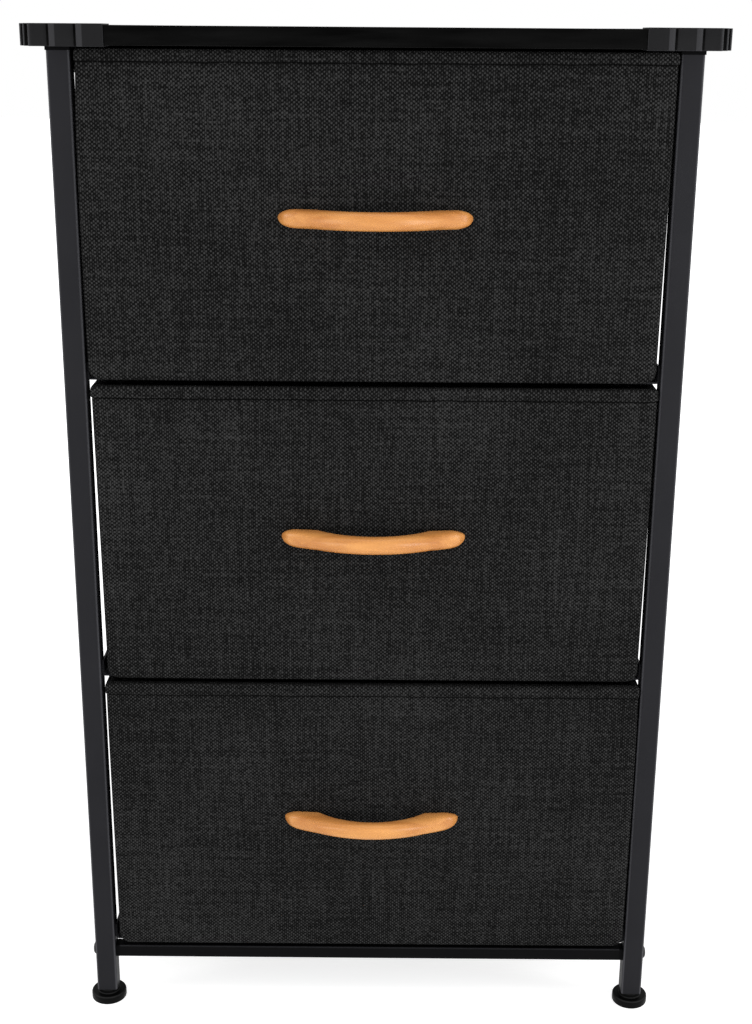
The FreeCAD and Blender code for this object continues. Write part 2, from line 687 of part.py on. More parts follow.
def wooden_pull(label):
    """Arched pull: sawn to two arcs in plan, rounded outside, eased inside, flat at the back."""
    body = new_body(label)
    plan = new_sketch(body, "XY_Plane", "-handle_height / 2")
    tip = ("handle_length / 2", "-handle_tip")
    heel = ("handle_length / 2", "handle_sawn")
    arch = ("handle_inner_end", "handle_sawn")

    def point(place, side):
        return FreeCAD.Vector(side * measure(place[0]), measure(place[1]), 0)

    curves = [
        arc_below("handle_outer_radius - handle_reach", "handle_outer_radius", *tip),
        Part.LineSegment(point(tip, RIGHT), point(heel, RIGHT)),
        Part.LineSegment(point(heel, RIGHT), point(arch, RIGHT)),
        arc_below("handle_inner_centre", "handle_inner_radius", *arch),
        Part.LineSegment(point(arch, LEFT), point(heel, LEFT)),
        Part.LineSegment(point(heel, LEFT), point(tip, LEFT)),
    ]
    outer, right_end, right_heel, inner, left_heel, left_end = range(len(curves))
    for curve in curves:
        plan.addGeometry(curve, False)
    for here, there in (((outer, 2), (right_end, 1)), ((right_end, 2), (right_heel, 1)),
                        ((right_heel, 2), (inner, 2)), ((inner, 1), (left_heel, 1)),
                        ((left_heel, 2), (left_end, 1)), ((left_end, 2), (outer, 1))):
        plan.addConstraint(Sketcher.Constraint("Coincident", *here, *there))
    for curve, (x, y), side in ((right_end, tip, RIGHT), (right_heel, heel, RIGHT),
                                (left_heel, arch, LEFT), (left_end, heel, LEFT)):
        pin_point(plan, curve, 1, f"{side} * {x}", y)
    pin_point(plan, right_heel, 2, *arch)
    pin_point(plan, left_end, 2, f"-{tip[0]}", tip[1])
    for curve, radius in ((outer, "handle_outer_radius"), (inner, "handle_inner_radius")):
        rule = plan.addConstraint(Sketcher.Constraint("Radius", curve, measure(radius)))
        bind(plan, f"Constraints[{rule}]", radius)

    blank = extrude(body, "Pad", plan, "handle_height")
    blank = round_edges(body, blank, "handle_nose", lambda edge: (
        runs(edge, ALONG_Z) and at(edge, "Y", "-handle_tip")))

    def arched(edge):
        return (edge.Curve.TypeId == "Part::GeomCircle" and level(edge, "Z") is not None
                and abs(edge.Curve.Radius - measure("handle_inner_radius")) < NEAR)

    blank = round_edges(body, blank, "handle_edge", lambda edge: (
        level(edge, "Z") is not None and not arched(edge) and not at(edge, "Y", "handle_sawn")))
    clip_edges(body, blank, "handle_arch_edge", arched)
    saw = [("-handle_length", "-handle_height"), ("handle_length", "-handle_height"),
           ("handle_length", "handle_height"), ("-handle_length", "handle_height")]
    extrude(body, "Pocket", outline(body, "XZ_Plane", saw), "2 * handle_sawn")
    spots = [(f"{side} * handle_screw_pitch / 2", "0") for side in (LEFT, RIGHT)]
    drill(body, "XZ_Plane", spots, "handle_screw_hole", "0", "handle_screw_bite + screw_gap")
    return body


def pull_screw(label):
    """Pan head screw from inside the drawer into the pull, its shank along +Z."""
    body = new_body(label)
    head, shank = "handle_screw_head / 2", "handle_screw / 2"
    top, end = "-handle_screw_head_height", "handle_screw_length"
    revolve(body, [("0", top), (head, top), (head, "0"), (shank, "0"), (shank, end), ("0", end)])
    return body


# Three like drawers, each a fabric tub stiffened by boards, with a wooden pull
forward = FreeCAD.Rotation(ALONG_X, 90)
for index, level_name in enumerate(DRAWERS):
    drawer = f"{level_name}_drawer"
    bottom = f"{ledge_height(index)} + drawer_lift"
    back_start = "drawer_depth - board_skin - back_board"
    cover = keep(fabric_cover(f"{drawer}_cover"))
    lining = keep(fabric_lining(f"{drawer}_lining"))
    front = keep(upright_board(f"{drawer}_front_board", "board_skin", "front_board"))
    screw_holes(front, "board_skin", "front_board")
    back = keep(upright_board(f"{drawer}_back_board", back_start, "back_board"))
    stiffeners = [side_board(f"{drawer}_board_{side_name}", side) for side_name, side in SIDES]
    base = keep(loose_base(f"{drawer}_base_board"))
    for item in (cover, lining, front, back, *stiffeners, base):
        place(item, "drawer_shift", "drawer_front", bottom)
    group(f"{drawer}_side_boards", stiffeners)

    pull = keep(wooden_pull(f"{drawer}_handle"))
    pull_height = f"{bottom} + handle_rise"
    place(pull, "drawer_shift", "drawer_front", pull_height)
    screws = []
    for side_name, side in SIDES:
        screw = pull_screw(f"{drawer}_screw_{side_name}")
        place(screw, f"drawer_shift + {side} * handle_screw_pitch / 2",
              "drawer_front + front_lining + lining_ply", pull_height, forward)
        screws.append(screw)
    group(f"{drawer}_handle_screws", screws)

# Every object has to be whole before any file is written
doc.recompute()
for item in doc.Objects:
    if "Invalid" in item.State or "Error" in item.State:
        raise RuntimeError(f"{item.FullName} in {[user.Label for user in item.InList]} failed")
for piece in pieces:
    if piece.Shape.isNull() or not piece.Shape.isValid():
        raise RuntimeError(f"{piece.Label} has no valid shape")
os.makedirs("parts", exist_ok=True)
for piece in pieces:
    piece.Shape.exportStep(f"parts/{piece.Label}.step")
print(len(pieces), "nodes written")
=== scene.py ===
"""Fabric drawer dresser: finishes, cloth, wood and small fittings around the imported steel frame.

Metres, +X to the right, +Y to the back, +Z up. Sections follow the dresser as it is put together.
"""
import math
import bmesh
import bpy
from mathutils import Matrix, Vector, noise


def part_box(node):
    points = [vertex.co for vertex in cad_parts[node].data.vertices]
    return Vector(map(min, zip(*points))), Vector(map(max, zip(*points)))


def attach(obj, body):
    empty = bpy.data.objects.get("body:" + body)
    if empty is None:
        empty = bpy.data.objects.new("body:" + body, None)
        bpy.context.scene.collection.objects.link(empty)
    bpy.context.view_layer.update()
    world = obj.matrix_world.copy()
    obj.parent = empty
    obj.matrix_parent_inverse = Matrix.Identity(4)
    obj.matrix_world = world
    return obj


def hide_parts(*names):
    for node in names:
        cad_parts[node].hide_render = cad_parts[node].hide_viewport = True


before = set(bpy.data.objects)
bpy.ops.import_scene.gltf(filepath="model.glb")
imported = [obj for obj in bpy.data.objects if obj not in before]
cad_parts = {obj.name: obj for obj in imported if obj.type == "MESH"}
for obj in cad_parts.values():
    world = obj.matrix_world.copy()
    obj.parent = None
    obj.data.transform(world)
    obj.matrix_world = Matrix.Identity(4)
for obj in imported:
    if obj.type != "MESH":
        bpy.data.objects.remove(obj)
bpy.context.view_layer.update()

# Steel frame: four square tube legs, top rails, crossbars and folded strip rails for the drawers.
# Thin cold-rolled steel, welded into two end frames, then powder coated in a satin black.
# The coat is slightly uneven, like fine orange peel, and painted lighter along the tubes' rounded
# edges, a painted highlight.
MM = 0.001
SIDES = ("left", "right")
ENDS = ("front", "rear")
LEVELS = ("lower", "middle", "upper")
CORNERS = [f"{end}_{side}" for end in ENDS for side in SIDES]


def seen(red, green, blue):
    """A colour as the eye reads it on screen, 0 to 255, turned into linear light."""
    shares = [value / 255 for value in (red, green, blue)]
    return [s / 12.92 if s <= 0.04045 else ((s + 0.055) / 1.055) ** 2.4 for s in shares]


def add_node(tree, kind, inputs=None, **settings):
    """Add a node to a tree, set its properties, and feed its inputs values or other sockets."""
    made = tree.nodes.new(kind)
    for name, value in settings.items():
        setattr(made, name, value)
    for socket, value in (inputs or {}).items():
        if isinstance(value, bpy.types.NodeSocket):
            tree.links.new(value, made.inputs[socket])
        else:
            made.inputs[socket].default_value = value
    return made


def calc(tree, operation, *values):
    """The result of one sum in a tree, worked on numbers or other sockets."""
    return add_node(tree, "ShaderNodeMath", dict(enumerate(values)), operation=operation).outputs[0]


def new_finish(name, colour, roughness, specular):
    """A material of one shader, returned with its node tree and that shader."""
    material = bpy.data.materials.new(name)
    material.use_nodes = True
    shader = material.node_tree.nodes["Principled BSDF"]
    shader.inputs["Base Color"].default_value = (*colour, 1)
    shader.inputs["Roughness"].default_value = roughness
    shader.inputs["Specular IOR Level"].default_value = specular
    return material, material.node_tree, shader


def speckle(tree, scale, stretch=(1, 1, 1), detail=3.0):
    """Noise fixed to the piece, at so many grains a metre, drawn out along the axes."""
    place = add_node(tree, "ShaderNodeTexCoord").outputs["Object"]
    place = add_node(tree, "ShaderNodeMapping", {"Vector": place, "Scale": stretch}).outputs[0]
    return add_node(tree, "ShaderNodeTexNoise",
                    {"Vector": place, "Scale": scale, "Detail": detail}).outputs["Fac"]


def shades(tree, shader, share, dark, light):
    """Colour the shader between two colours by a share from 0 to 1."""
    ramp = add_node(tree, "ShaderNodeValToRGB", {"Fac": share})
    ramp.color_ramp.elements[0].color = (*dark, 1)
    ramp.color_ramp.elements[1].color = (*light, 1)
    tree.links.new(ramp.outputs["Color"], shader.inputs["Base Color"])
    return ramp


def relief(tree, shader, height, depth, strength):
    """Roughen the shader's surface by a height from 0 to 1, worth a depth in metres."""
    bump = add_node(tree, "ShaderNodeBump",
                    {"Height": height, "Distance": depth, "Strength": strength})
    tree.links.new(bump.outputs["Normal"], shader.inputs["Normal"])


def gloss_between(tree, shader, share, low, high):
    """Let the roughness vary between two values by a share from 0 to 1."""
    spread = add_node(tree, "ShaderNodeMapRange",
                      {"Value": share, "To Min": low, "To Max": high})
    tree.links.new(spread.outputs["Result"], shader.inputs["Roughness"])


def over_paint(tree, shader, share, colour):
    """Cover the shader's colour with another one by a share from 0 to 1."""
    under = shader.inputs["Base Color"].links[0].from_socket
    mix = add_node(tree, "ShaderNodeMix", {0: share, 6: under, 7: (*colour, 1)}, data_type="RGBA")
    tree.links.new(mix.outputs[2], shader.inputs["Base Color"])


def between(tree, value, low, high):
    """A share that goes from 0 at one value to 1 at another."""
    return add_node(tree, "ShaderNodeMapRange",
                    {"Value": value, "From Min": low, "From Max": high}).outputs["Result"]


def facing(tree):
    """How far a surface faces along each axis, either way, from 0 to 1."""
    normal = add_node(tree, "ShaderNodeTexCoord").outputs["Normal"]
    ways = add_node(tree, "ShaderNodeSeparateXYZ", {0: normal}).outputs
    return [calc(tree, "ABSOLUTE", way) for way in ways]


def edges(tree):
    """A share that is 0 on faces square to an axis and 1 well round their rounded edges."""
    square, rounded = 0.99, 0.75
    x, y, z = facing(tree)
    most = calc(tree, "MAXIMUM", calc(tree, "MAXIMUM", x, y), z)
    return between(tree, most, square, rounded)


def within(tree, value, low, high, fade):
    """A share that is 1 from one value to another and fades to 0 outside them."""
    return calc(tree, "MULTIPLY", between(tree, value, low - fade, low),
                between(tree, value, high + fade, high))


def dress(material, *nodes):
    """Give CAD nodes a finish."""
    for name in nodes:
        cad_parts[name].data.materials[0] = material


COAT_BLOTCHES = 22
COAT_SHEEN = 160
COAT_PEEL = 1400
PEEL_DEPTH = 0.05 * MM


def steel_coat(name, middle, dark, light, painted_highlight, rough, specular):
    """Powder coat between two greys, with a lighter one painted on the rounded edges as a painted
    highlight.

    Rough holds its usual, its least and its greatest roughness.
    """
    usual, least, most = rough
    material, tree, shader = new_finish(name, middle, usual, specular)
    shades(tree, shader, speckle(tree, COAT_BLOTCHES), dark, light)
    # Painted highlight: the rounded edges take the lighter grey, as if catching the lamps.
    over_paint(tree, shader, edges(tree), painted_highlight)
    gloss_between(tree, shader, speckle(tree, COAT_SHEEN), least, most)
    relief(tree, shader, speckle(tree, COAT_PEEL, detail=1.0), PEEL_DEPTH, 0.35)
    return material


powder_coat = steel_coat("powder_coat", seen(36, 36, 39), seen(32, 32, 35), seen(40, 40, 43),
                         seen(80, 80, 84), (0.46, 0.4, 0.54), 0.06)
steel_nodes = [f"leg_{corner}" for corner in CORNERS]
steel_nodes += [f"{level}_rail_{side}" for level in LEVELS for side in SIDES]
steel_nodes += [f"top_rail_{side}" for side in SIDES]
dress(powder_coat, *steel_nodes)

# The crossbars take a darker copy of the coat: painted shade, as they lie in the drawers' shadow.
# Their edges get the same painted highlight.
painted_shade_bar_coat = steel_coat("painted_shade_bar_coat", seen(8, 8, 9), seen(5, 5, 6), seen(11, 11, 12),
                      seen(44, 44, 46), (0.5, 0.44, 0.58), 0.04)
crossbars = ["front_crossbar"] + [f"rear_crossbar_{level}" for level in LEVELS]
dress(painted_shade_bar_coat, *crossbars)

# Tube plugs: moulded plugs in the leg tops, in the leg bottoms and in the crossbar ends.
# Black polypropylene with a fine eroded texture, pushed into the tubes and held by friction.
MOULD_GRAIN = 2200
GRAIN_DEPTH = 0.05 * MM

plug_plastic, tree, shader = new_finish("plug_plastic", seen(7, 7, 8), 0.6, 0.03)
shades(tree, shader, speckle(tree, 40), seen(4, 4, 5), seen(10, 10, 11))
relief(tree, shader, speckle(tree, MOULD_GRAIN, detail=1.0), GRAIN_DEPTH, 0.4)
dress(plug_plastic, "leg_top_plugs", "leg_foot_inserts", "crossbar_end_plugs")

# Feet: four round levelling feet, each moulded over a zinc plated stud that screws into its leg.
# Black polypropylene: a flat disc with a rounded rim, and a plain hub under the tube.


def put_in(name, data):
    """A new object of the scene, around a mesh, a lamp or a camera."""
    made = bpy.data.objects.new(name, data)
    bpy.context.scene.collection.objects.link(made)
    return made


def loft(name, rings, material, close_start=True, close_end=True, seam_shadows=None):
    """Skin a run of closed rings, each of as many points, into an object with outward faces.

    Seam shadows holds, for each ring, a share of painted shadow along the hem's seam, kept on its
    points under the name seam.
    """
    count = len(rings[0])
    points = [point for ring in rings for point in ring]
    faces = []
    for row in range(len(rings) - 1):
        for here in range(count):
            there = (here + 1) % count
            low, high = row * count, (row + 1) * count
            faces.append((low + here, low + there, high + there, high + here))
    if close_start:
        faces.append(tuple(range(count - 1, -1, -1)))
    if close_end:
        first = (len(rings) - 1) * count
        faces.append(tuple(range(first, first + count)))
    mesh = bpy.data.meshes.new(name)
    mesh.from_pydata(points, [], faces)
    if seam_shadows:
        layer = mesh.attributes.new("seam", "FLOAT", "POINT")
        layer.data.foreach_set("value", [share for share in seam_shadows for point in rings[0]])
    cleaned = bmesh.new()
    cleaned.from_mesh(mesh)
    bmesh.ops.remove_doubles(cleaned, verts=cleaned.verts, dist=0.001 * MM)
    bmesh.ops.recalc_face_normals(cleaned, faces=cleaned.faces)
    cleaned.to_mesh(mesh)
    cleaned.free()
    mesh.materials.append(material)
    return put_in(name, mesh)


def smooth(piece, sharp_degrees):
    """Shade a piece smoothly, with a crease wherever it turns by more than an angle."""
    piece.data.shade_smooth()
    piece.data.set_sharp_from_angle(angle=math.radians(sharp_degrees))


def bend(centre_r, centre_z, radius, start, stop, steps=6):
    """Points of a turned profile round an arc, from one angle to another in degrees."""
    angles = [math.radians(start + (stop - start) * step / steps) for step in range(steps + 1)]
    return [(centre_r + radius * math.cos(a), centre_z + radius * math.sin(a)) for a in angles]


def turned(profile, centre, steps=64):
    """Rings of a piece turned about an upright axis, from its profile of radius and height."""
    turns = [2 * math.pi * step / steps for step in range(steps)]
    return [[centre + Vector((radius * math.cos(a), radius * math.sin(a), height)) for a in turns]
            for radius, height in profile]


FOOT_DISC = 6.2 * MM
FOOT_RIM = 1.5 * MM
FOOT_HEEL = 0.9 * MM
FOOT_HUB = 8 * MM
FOOT_ROOT = 0.9 * MM
FOOT_LIP = 0.5 * MM
FOOT_SLOPE, SLOPE_FADE = (0.5, 0.9), 0.08
STUD_BED = 2.5 * MM
POLE = 0.01 * MM
FITTING_CREASE = 35

foot_plastic, tree, shader = new_finish("foot_plastic", seen(10, 10, 11), 0.4, 0.05)
shades(tree, shader, speckle(tree, 60), seen(4, 4, 4), seen(9, 9, 9))
# Painted highlight: faces sloping between flat and upright, the rim's rounding and the hub's lip,
# are painted lighter.
painted_rim_highlight = within(tree, facing(tree)[2], *FOOT_SLOPE, SLOPE_FADE)
over_paint(tree, shader, painted_rim_highlight, seen(34, 34, 34))
gloss_between(tree, shader, speckle(tree, 300), 0.36, 0.5)
relief(tree, shader, speckle(tree, 2600, detail=1.0), 0.04 * MM, 0.3)
zinc_plate, tree, shader = new_finish("zinc_plate", seen(176, 178, 180), 0.32, 0.5)
shader.inputs["Metallic"].default_value = 1
shades(tree, shader, speckle(tree, 400), seen(160, 162, 165), seen(190, 192, 194))
for corner in CORNERS:
    body = f"foot_{corner}"
    low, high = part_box(body)
    stud_low, stud_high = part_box(f"stud_{corner}")
    centre = Vector(((low.x + high.x) / 2, (low.y + high.y) / 2, low.z))
    rim, top = (high.x - low.x) / 2, high.z - low.z
    stud = (stud_high.x - stud_low.x) / 2
    profile = [(POLE, 0), *bend(rim - FOOT_HEEL, FOOT_HEEL, FOOT_HEEL, -90, 0),
               *bend(rim - FOOT_RIM, FOOT_DISC - FOOT_RIM, FOOT_RIM, 0, 90),
               *bend(FOOT_HUB + FOOT_ROOT, FOOT_DISC + FOOT_ROOT, FOOT_ROOT, 270, 180),
               *bend(FOOT_HUB - FOOT_LIP, top - FOOT_LIP, FOOT_LIP, 0, 90),
               (stud, top), (stud, STUD_BED), (POLE, STUD_BED)]
    foot = loft(f"{body}_moulding", turned(profile, centre), foot_plastic)
    smooth(foot, FITTING_CREASE)
    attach(foot, body)
    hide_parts(body)
    dress(zinc_plate, f"stud_{corner}")

# Frame bolts: eight black button heads, one each side of every crossbar, driven by a hex key.
# They come in through the legs and pull the crossbars' end plugs tight against the tubes.


def empty_tree(title, start, settings, result):
    """A new geometry tree with its sockets, and its settings' identifiers by their names."""
    made = bpy.data.node_groups.new(title, "GeometryNodeTree")
    sockets = made.interface
    sockets.new_socket(start, in_out="INPUT", socket_type="NodeSocketGeometry")
    names = {}
    for label, kind in settings.items():
        socket = sockets.new_socket(label, in_out="INPUT", socket_type=f"NodeSocket{kind}")
        names[label] = socket.identifier
    sockets.new_socket(result, in_out="OUTPUT", socket_type="NodeSocketGeometry")
    return made, names


def fitting_tree():
    """Sets one fitting on each point, aimed as the point says and turned at random."""
    settings = {"Fitting": "Object", "Scale": "Float", "Seed": "Int", "Finish": "Material"}
    made, names = empty_tree("fittings_on_points", "Points", settings, "Fittings")
    given = add_node(made, "NodeGroupInput").outputs
    part = add_node(made, "GeometryNodeObjectInfo",
                    {"Object": given["Fitting"]}).outputs["Geometry"]
    aim = add_node(made, "GeometryNodeInputNamedAttribute", {"Name": "aim"},
                   data_type="FLOAT_VECTOR").outputs["Attribute"]
    aimed = add_node(made, "FunctionNodeAlignRotationToVector", {"Vector": aim}, axis="Z")
    twist = add_node(made, "FunctionNodeRandomValue", {"Seed": given["Seed"]}, data_type="FLOAT")
    twist.inputs[3].default_value = 2 * math.pi
    spin = add_node(made, "FunctionNodeAxisAngleToRotation", {"Angle": twist.outputs[1]})
    turn = add_node(made, "FunctionNodeRotateRotation",
                    {"Rotation": aimed.outputs[0], "Rotate By": spin.outputs[0]},
                    rotation_space="LOCAL")
    placed = add_node(made, "GeometryNodeInstanceOnPoints",
                      {"Points": given["Points"], "Instance": part, "Scale": given["Scale"],
                       "Rotation": turn.outputs[0]})
    whole = add_node(made, "GeometryNodeRealizeInstances", {"Geometry": placed.outputs[0]})
    coated = add_node(made, "GeometryNodeSetMaterial",
                      {"Geometry": whole.outputs[0], "Material": given["Finish"]})
    add_node(made, "NodeGroupOutput", {0: coated.outputs[0]})
    return made, names


def made_plain(piece):
    """Turn what a piece's modifiers give into its own plain mesh, and remove the modifiers."""
    bpy.context.view_layer.update()
    graph = bpy.context.evaluated_depsgraph_get()
    mesh = bpy.data.meshes.new_from_object(piece.evaluated_get(graph))
    piece.modifiers.clear()
    piece.data = mesh


def grown(name, mesh, tree, names, settings, sharp_degrees):
    """The piece that a geometry tree grows on a mesh with these settings, made plain."""
    piece = put_in(name, mesh)
    modifier = piece.modifiers.new("grown", "NODES")
    modifier.node_group = tree
    for label, value in settings.items():
        modifier[names[label]] = value
    made_plain(piece)
    smooth(piece, sharp_degrees)
    return piece


def fittings(name, places, fitting, material, seed):
    """One piece of like fittings, each given by the point it sits on and the way it faces."""
    mesh = bpy.data.meshes.new(name)
    mesh.from_pydata([place for place, aim in places], [], [])
    aims = mesh.attributes.new("aim", "FLOAT_VECTOR", "POINT")
    for row, (place, aim) in zip(aims.data, places):
        row.vector = aim
    settings = {"Fitting": fitting, "Scale": 1.0, "Seed": seed, "Finish": material}
    return grown(name, mesh, fitting_group, fitting_inputs, settings, FITTING_CREASE)


def hexagon(across, height, steps):
    """A ring of points on a hexagon, given its width across flats."""
    ring = []
    for step in range(steps):
        angle = 2 * math.pi * step / steps
        reach = across / 2 / math.cos((angle % (math.pi / 3)) - math.pi / 6)
        ring.append(Vector((reach * math.cos(angle), reach * math.sin(angle), height)))
    return ring


def drop(piece):
    """Remove a pattern piece that was only there to be repeated."""
    mesh = piece.data
    bpy.data.objects.remove(piece)
    bpy.data.meshes.remove(mesh)


fitting_group, fitting_inputs = fitting_tree()
ORIGIN = Vector((0, 0, 0))
ROUND_STEPS = 24
DOME_STEPS, DOME_FALL = 5, 1.7
BOLT_HEAD = 9.5 * MM
BOLT_DOME = 2.2 * MM
BOLT_BRIM = 0.4 * MM
BOLT_CROWN = 4.6 * MM
BOLT_SHANK = 5 * MM
BOLT_LENGTH = 29 * MM
KEY_WIDTH = 3 * MM
KEY_DEPTH = 1.5 * MM

bolt_black, tree, shader = new_finish("bolt_black", seen(34, 34, 36), 0.34, 0.2)
shades(tree, shader, speckle(tree, 500), seen(28, 28, 30), seen(44, 44, 47))
dome = []
for step in range(DOME_STEPS + 1):
    share = step / DOME_STEPS
    radius = BOLT_HEAD / 2 - (BOLT_HEAD - BOLT_CROWN) / 2 * share ** DOME_FALL
    dome.append((radius, BOLT_BRIM + (BOLT_DOME - BOLT_BRIM) * math.sin(share * math.pi / 2)))
rings = turned([(BOLT_SHANK / 2, -BOLT_LENGTH), (BOLT_SHANK / 2, 0), (BOLT_HEAD / 2, 0), *dome],
               ORIGIN, ROUND_STEPS)
rings += [hexagon(KEY_WIDTH, BOLT_DOME, ROUND_STEPS),
          hexagon(KEY_WIDTH, BOLT_DOME - KEY_DEPTH, ROUND_STEPS)]
bolt_pattern = loft("bolt_pattern", rings, bolt_black)
places = []
for bar in crossbars:
    low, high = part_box(bar)
    for side, outward in (("left", -1), ("right", 1)):
        leg_low, leg_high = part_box(f"leg_front_{side}")
        face = leg_low.x if outward < 0 else leg_high.x
        places.append((Vector((face, (low.y + high.y) / 2, (low.z + high.z) / 2)), (outward, 0, 0)))
bolts = fittings("frame_button_bolts", places, bolt_pattern, bolt_black, seed=3)
drop(bolt_pattern)
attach(bolts, "frame")
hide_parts("frame_bolts")

# Top: a particle board panel wrapped in a black, faintly grained laminate, edges included.
# Four moulded caps, stepped at the corners, grip it, and screws from the top rails hold both.


def softened(name, node, width, material, edge_highlight_material):
    """A copy of a CAD node with its edges rounded, and painted a little lighter there as a painted
    highlight.
    """
    piece = put_in(name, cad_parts[node].data.copy())
    cleaned = bmesh.new()
    cleaned.from_mesh(piece.data)
    bmesh.ops.remove_doubles(cleaned, verts=cleaned.verts, dist=0.002 * MM)
    bmesh.ops.dissolve_limit(cleaned, angle_limit=math.radians(1), verts=cleaned.verts,
                             edges=cleaned.edges)
    cleaned.to_mesh(piece.data)
    cleaned.free()
    piece.data.materials.clear()
    piece.data.materials.append(material)
    piece.data.materials.append(edge_highlight_material)
    modifier = piece.modifiers.new("rounded", "BEVEL")
    modifier.width = width
    modifier.segments = 3
    # The rounded edges take the second, lighter material: a painted highlight.
    modifier.material = 1
    modifier.limit_method = "ANGLE"
    modifier.angle_limit = math.radians(40)
    modifier.use_clamp_overlap = True
    made_plain(piece)
    smooth(piece, 30)
    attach(piece, "frame")
    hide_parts(node)
    return piece


def laminate_finish(name, dark, light, specular):
    """Printed laminate: a fine grain along the board, slightly open to the touch."""
    material, tree, shader = new_finish(name, dark, 0.44, specular)
    grain = speckle(tree, LAMINATE_GRAIN, stretch=(0.8, 9, 9), detail=8.0)
    pores = speckle(tree, LAMINATE_PORES, stretch=(1, 12, 12), detail=6.0)
    ramp = shades(tree, shader, grain, dark, light)
    ramp.color_ramp.elements[0].position = 0.34
    ramp.color_ramp.elements[1].position = 0.7
    gloss_between(tree, shader, grain, 0.36, 0.5)
    relief(tree, shader, pores, PORE_DEPTH, 0.3)
    return material


def cap_finish(name, dark, light, specular):
    """Moulded plastic with a fine eroded texture, a painted highlight along its steps' rounded
    edges and painted shade in their creases.
    """
    material, tree, shader = new_finish(name, dark, 0.34, specular)
    shades(tree, shader, speckle(tree, 45), dark, light)
    place = add_node(tree, "ShaderNodeTexCoord").outputs["Object"]
    from_middle = add_node(tree, "ShaderNodeVectorMath", {0: place, 1: TOP_MIDDLE},
                           operation="SUBTRACT")
    from_middle = add_node(tree, "ShaderNodeSeparateXYZ", {0: from_middle.outputs[0]}).outputs
    ways = facing(tree)
    painted_highlight, painted_crease_shade = edges(tree), 0.0
    for way, half in ((0, TOP_HALF.x), (1, TOP_HALF.y)):
        out = calc(tree, "ABSOLUTE", from_middle[way])
        tread, riser = ways[1 - way], ways[way]
        for step in CAP_STEPS:
            past = calc(tree, "SUBTRACT", out, half - step)
            # A band beside each step's rounded edge is painted lighter, a painted highlight; the
            # crease at the step's foot and its upright face are painted dark, painted shade.
            band = calc(tree, "MULTIPLY", within(tree, past, -BAND_FAR, -BAND_NEAR, STEP_FADE),
                        between(tree, tread, *BAND_FACES))
            painted_highlight = calc(tree, "MAXIMUM", painted_highlight, band)
            crease = calc(tree, "MULTIPLY", within(tree, past, 0.0, CREASE_WIDTH, STEP_FADE),
                          between(tree, tread, *CREASE_FACES))
            upright = calc(tree, "MULTIPLY", within(tree, past, -STEP_FADE, STEP_FADE, STEP_FADE),
                           between(tree, riser, *RISER_FACES))
            painted_crease_shade = calc(tree, "MAXIMUM", painted_crease_shade, calc(tree, "MAXIMUM", crease, upright))
    # Painted highlight on the rounded edges and the bands.
    over_paint(tree, shader, painted_highlight, seen(58, 58, 60))
    # Painted shade in the creases and on the upright faces.
    over_paint(tree, shader, painted_crease_shade, seen(3, 3, 3))
    gloss_between(tree, shader, speckle(tree, 300), 0.28, 0.4)
    relief(tree, shader, speckle(tree, MOULD_GRAIN, detail=1.0), GRAIN_DEPTH, 0.3)
    return material


LAMINATE_GRAIN = 22
LAMINATE_PORES = 120
PORE_DEPTH = 0.06 * MM
BOARD_ROUNDING = 0.7 * MM
CAP_ROUNDING = 0.5 * MM
CAP_STEPS = (44.6 * MM, 26.5 * MM)
CREASE_WIDTH = 1.8 * MM
STEP_FADE = 0.4 * MM
BAND_NEAR, BAND_FAR = 1.0 * MM, 4.2 * MM
BAND_FACES, CREASE_FACES, RISER_FACES = (0.5, 0.7), (0.9, 0.99), (0.75, 0.92)
cap_low, cap_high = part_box("corner_cap_front_left")[0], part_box("corner_cap_rear_right")[1]
TOP_MIDDLE, TOP_HALF = (cap_low + cap_high) / 2, (cap_high - cap_low) / 2
laminate = laminate_finish("black_laminate", seen(2, 2, 2), seen(13, 13, 13), 0.02)
# The laminate on the rounded edges is lighter, a painted highlight.
laminate_edge_highlight = laminate_finish("black_laminate_edge", seen(24, 24, 24), seen(40, 40, 40), 0.06)
board = softened("top_board_panel", "top_board", BOARD_ROUNDING, laminate, laminate_edge_highlight)
cap_plastic = cap_finish("cap_plastic", seen(32, 32, 33), seen(37, 37, 38), 0.015)
# The caps' rounded edges are lighter too, a painted highlight.
cap_edge_highlight = cap_finish("cap_plastic_edge", seen(35, 35, 37), seen(43, 43, 45), 0.02)
for corner in CORNERS:
    node = f"corner_cap_{corner}"
    cap = softened(f"{node}_moulding", node, CAP_ROUNDING, cap_plastic, cap_edge_highlight)


def cross(across, width, height, steps):
    """A ring of points on a cross recess, given the reach and the width of its arms."""
    ring = []
    for step in range(steps):
        angle = 2 * math.pi * step / steps
        off = abs((angle + math.pi / 4) % (math.pi / 2) - math.pi / 4)
        reach = min(across / 2 / math.cos(off), width / 2 / max(math.sin(off), 1e-6))
        ring.append(Vector((reach * math.cos(angle), reach * math.sin(angle), height)))
    return ring


def pan_screw(name, head, height, shank, length, material):
    """A pan head screw with a cross recess, its seat at the origin and its head along +Z."""
    arms, slot_width, depth = 0.56 * head, 0.16 * head, 0.55 * height
    edge = [(wide * head / 2, tall * height) for wide, tall in PAN_PROFILE]
    rings = turned([(shank / 2, -length), (shank / 2, 0), *edge], ORIGIN, ROUND_STEPS)
    rings += [cross(arms, slot_width, height, ROUND_STEPS),
              cross(arms, slot_width, height - depth, ROUND_STEPS)]
    return loft(name, rings, material)


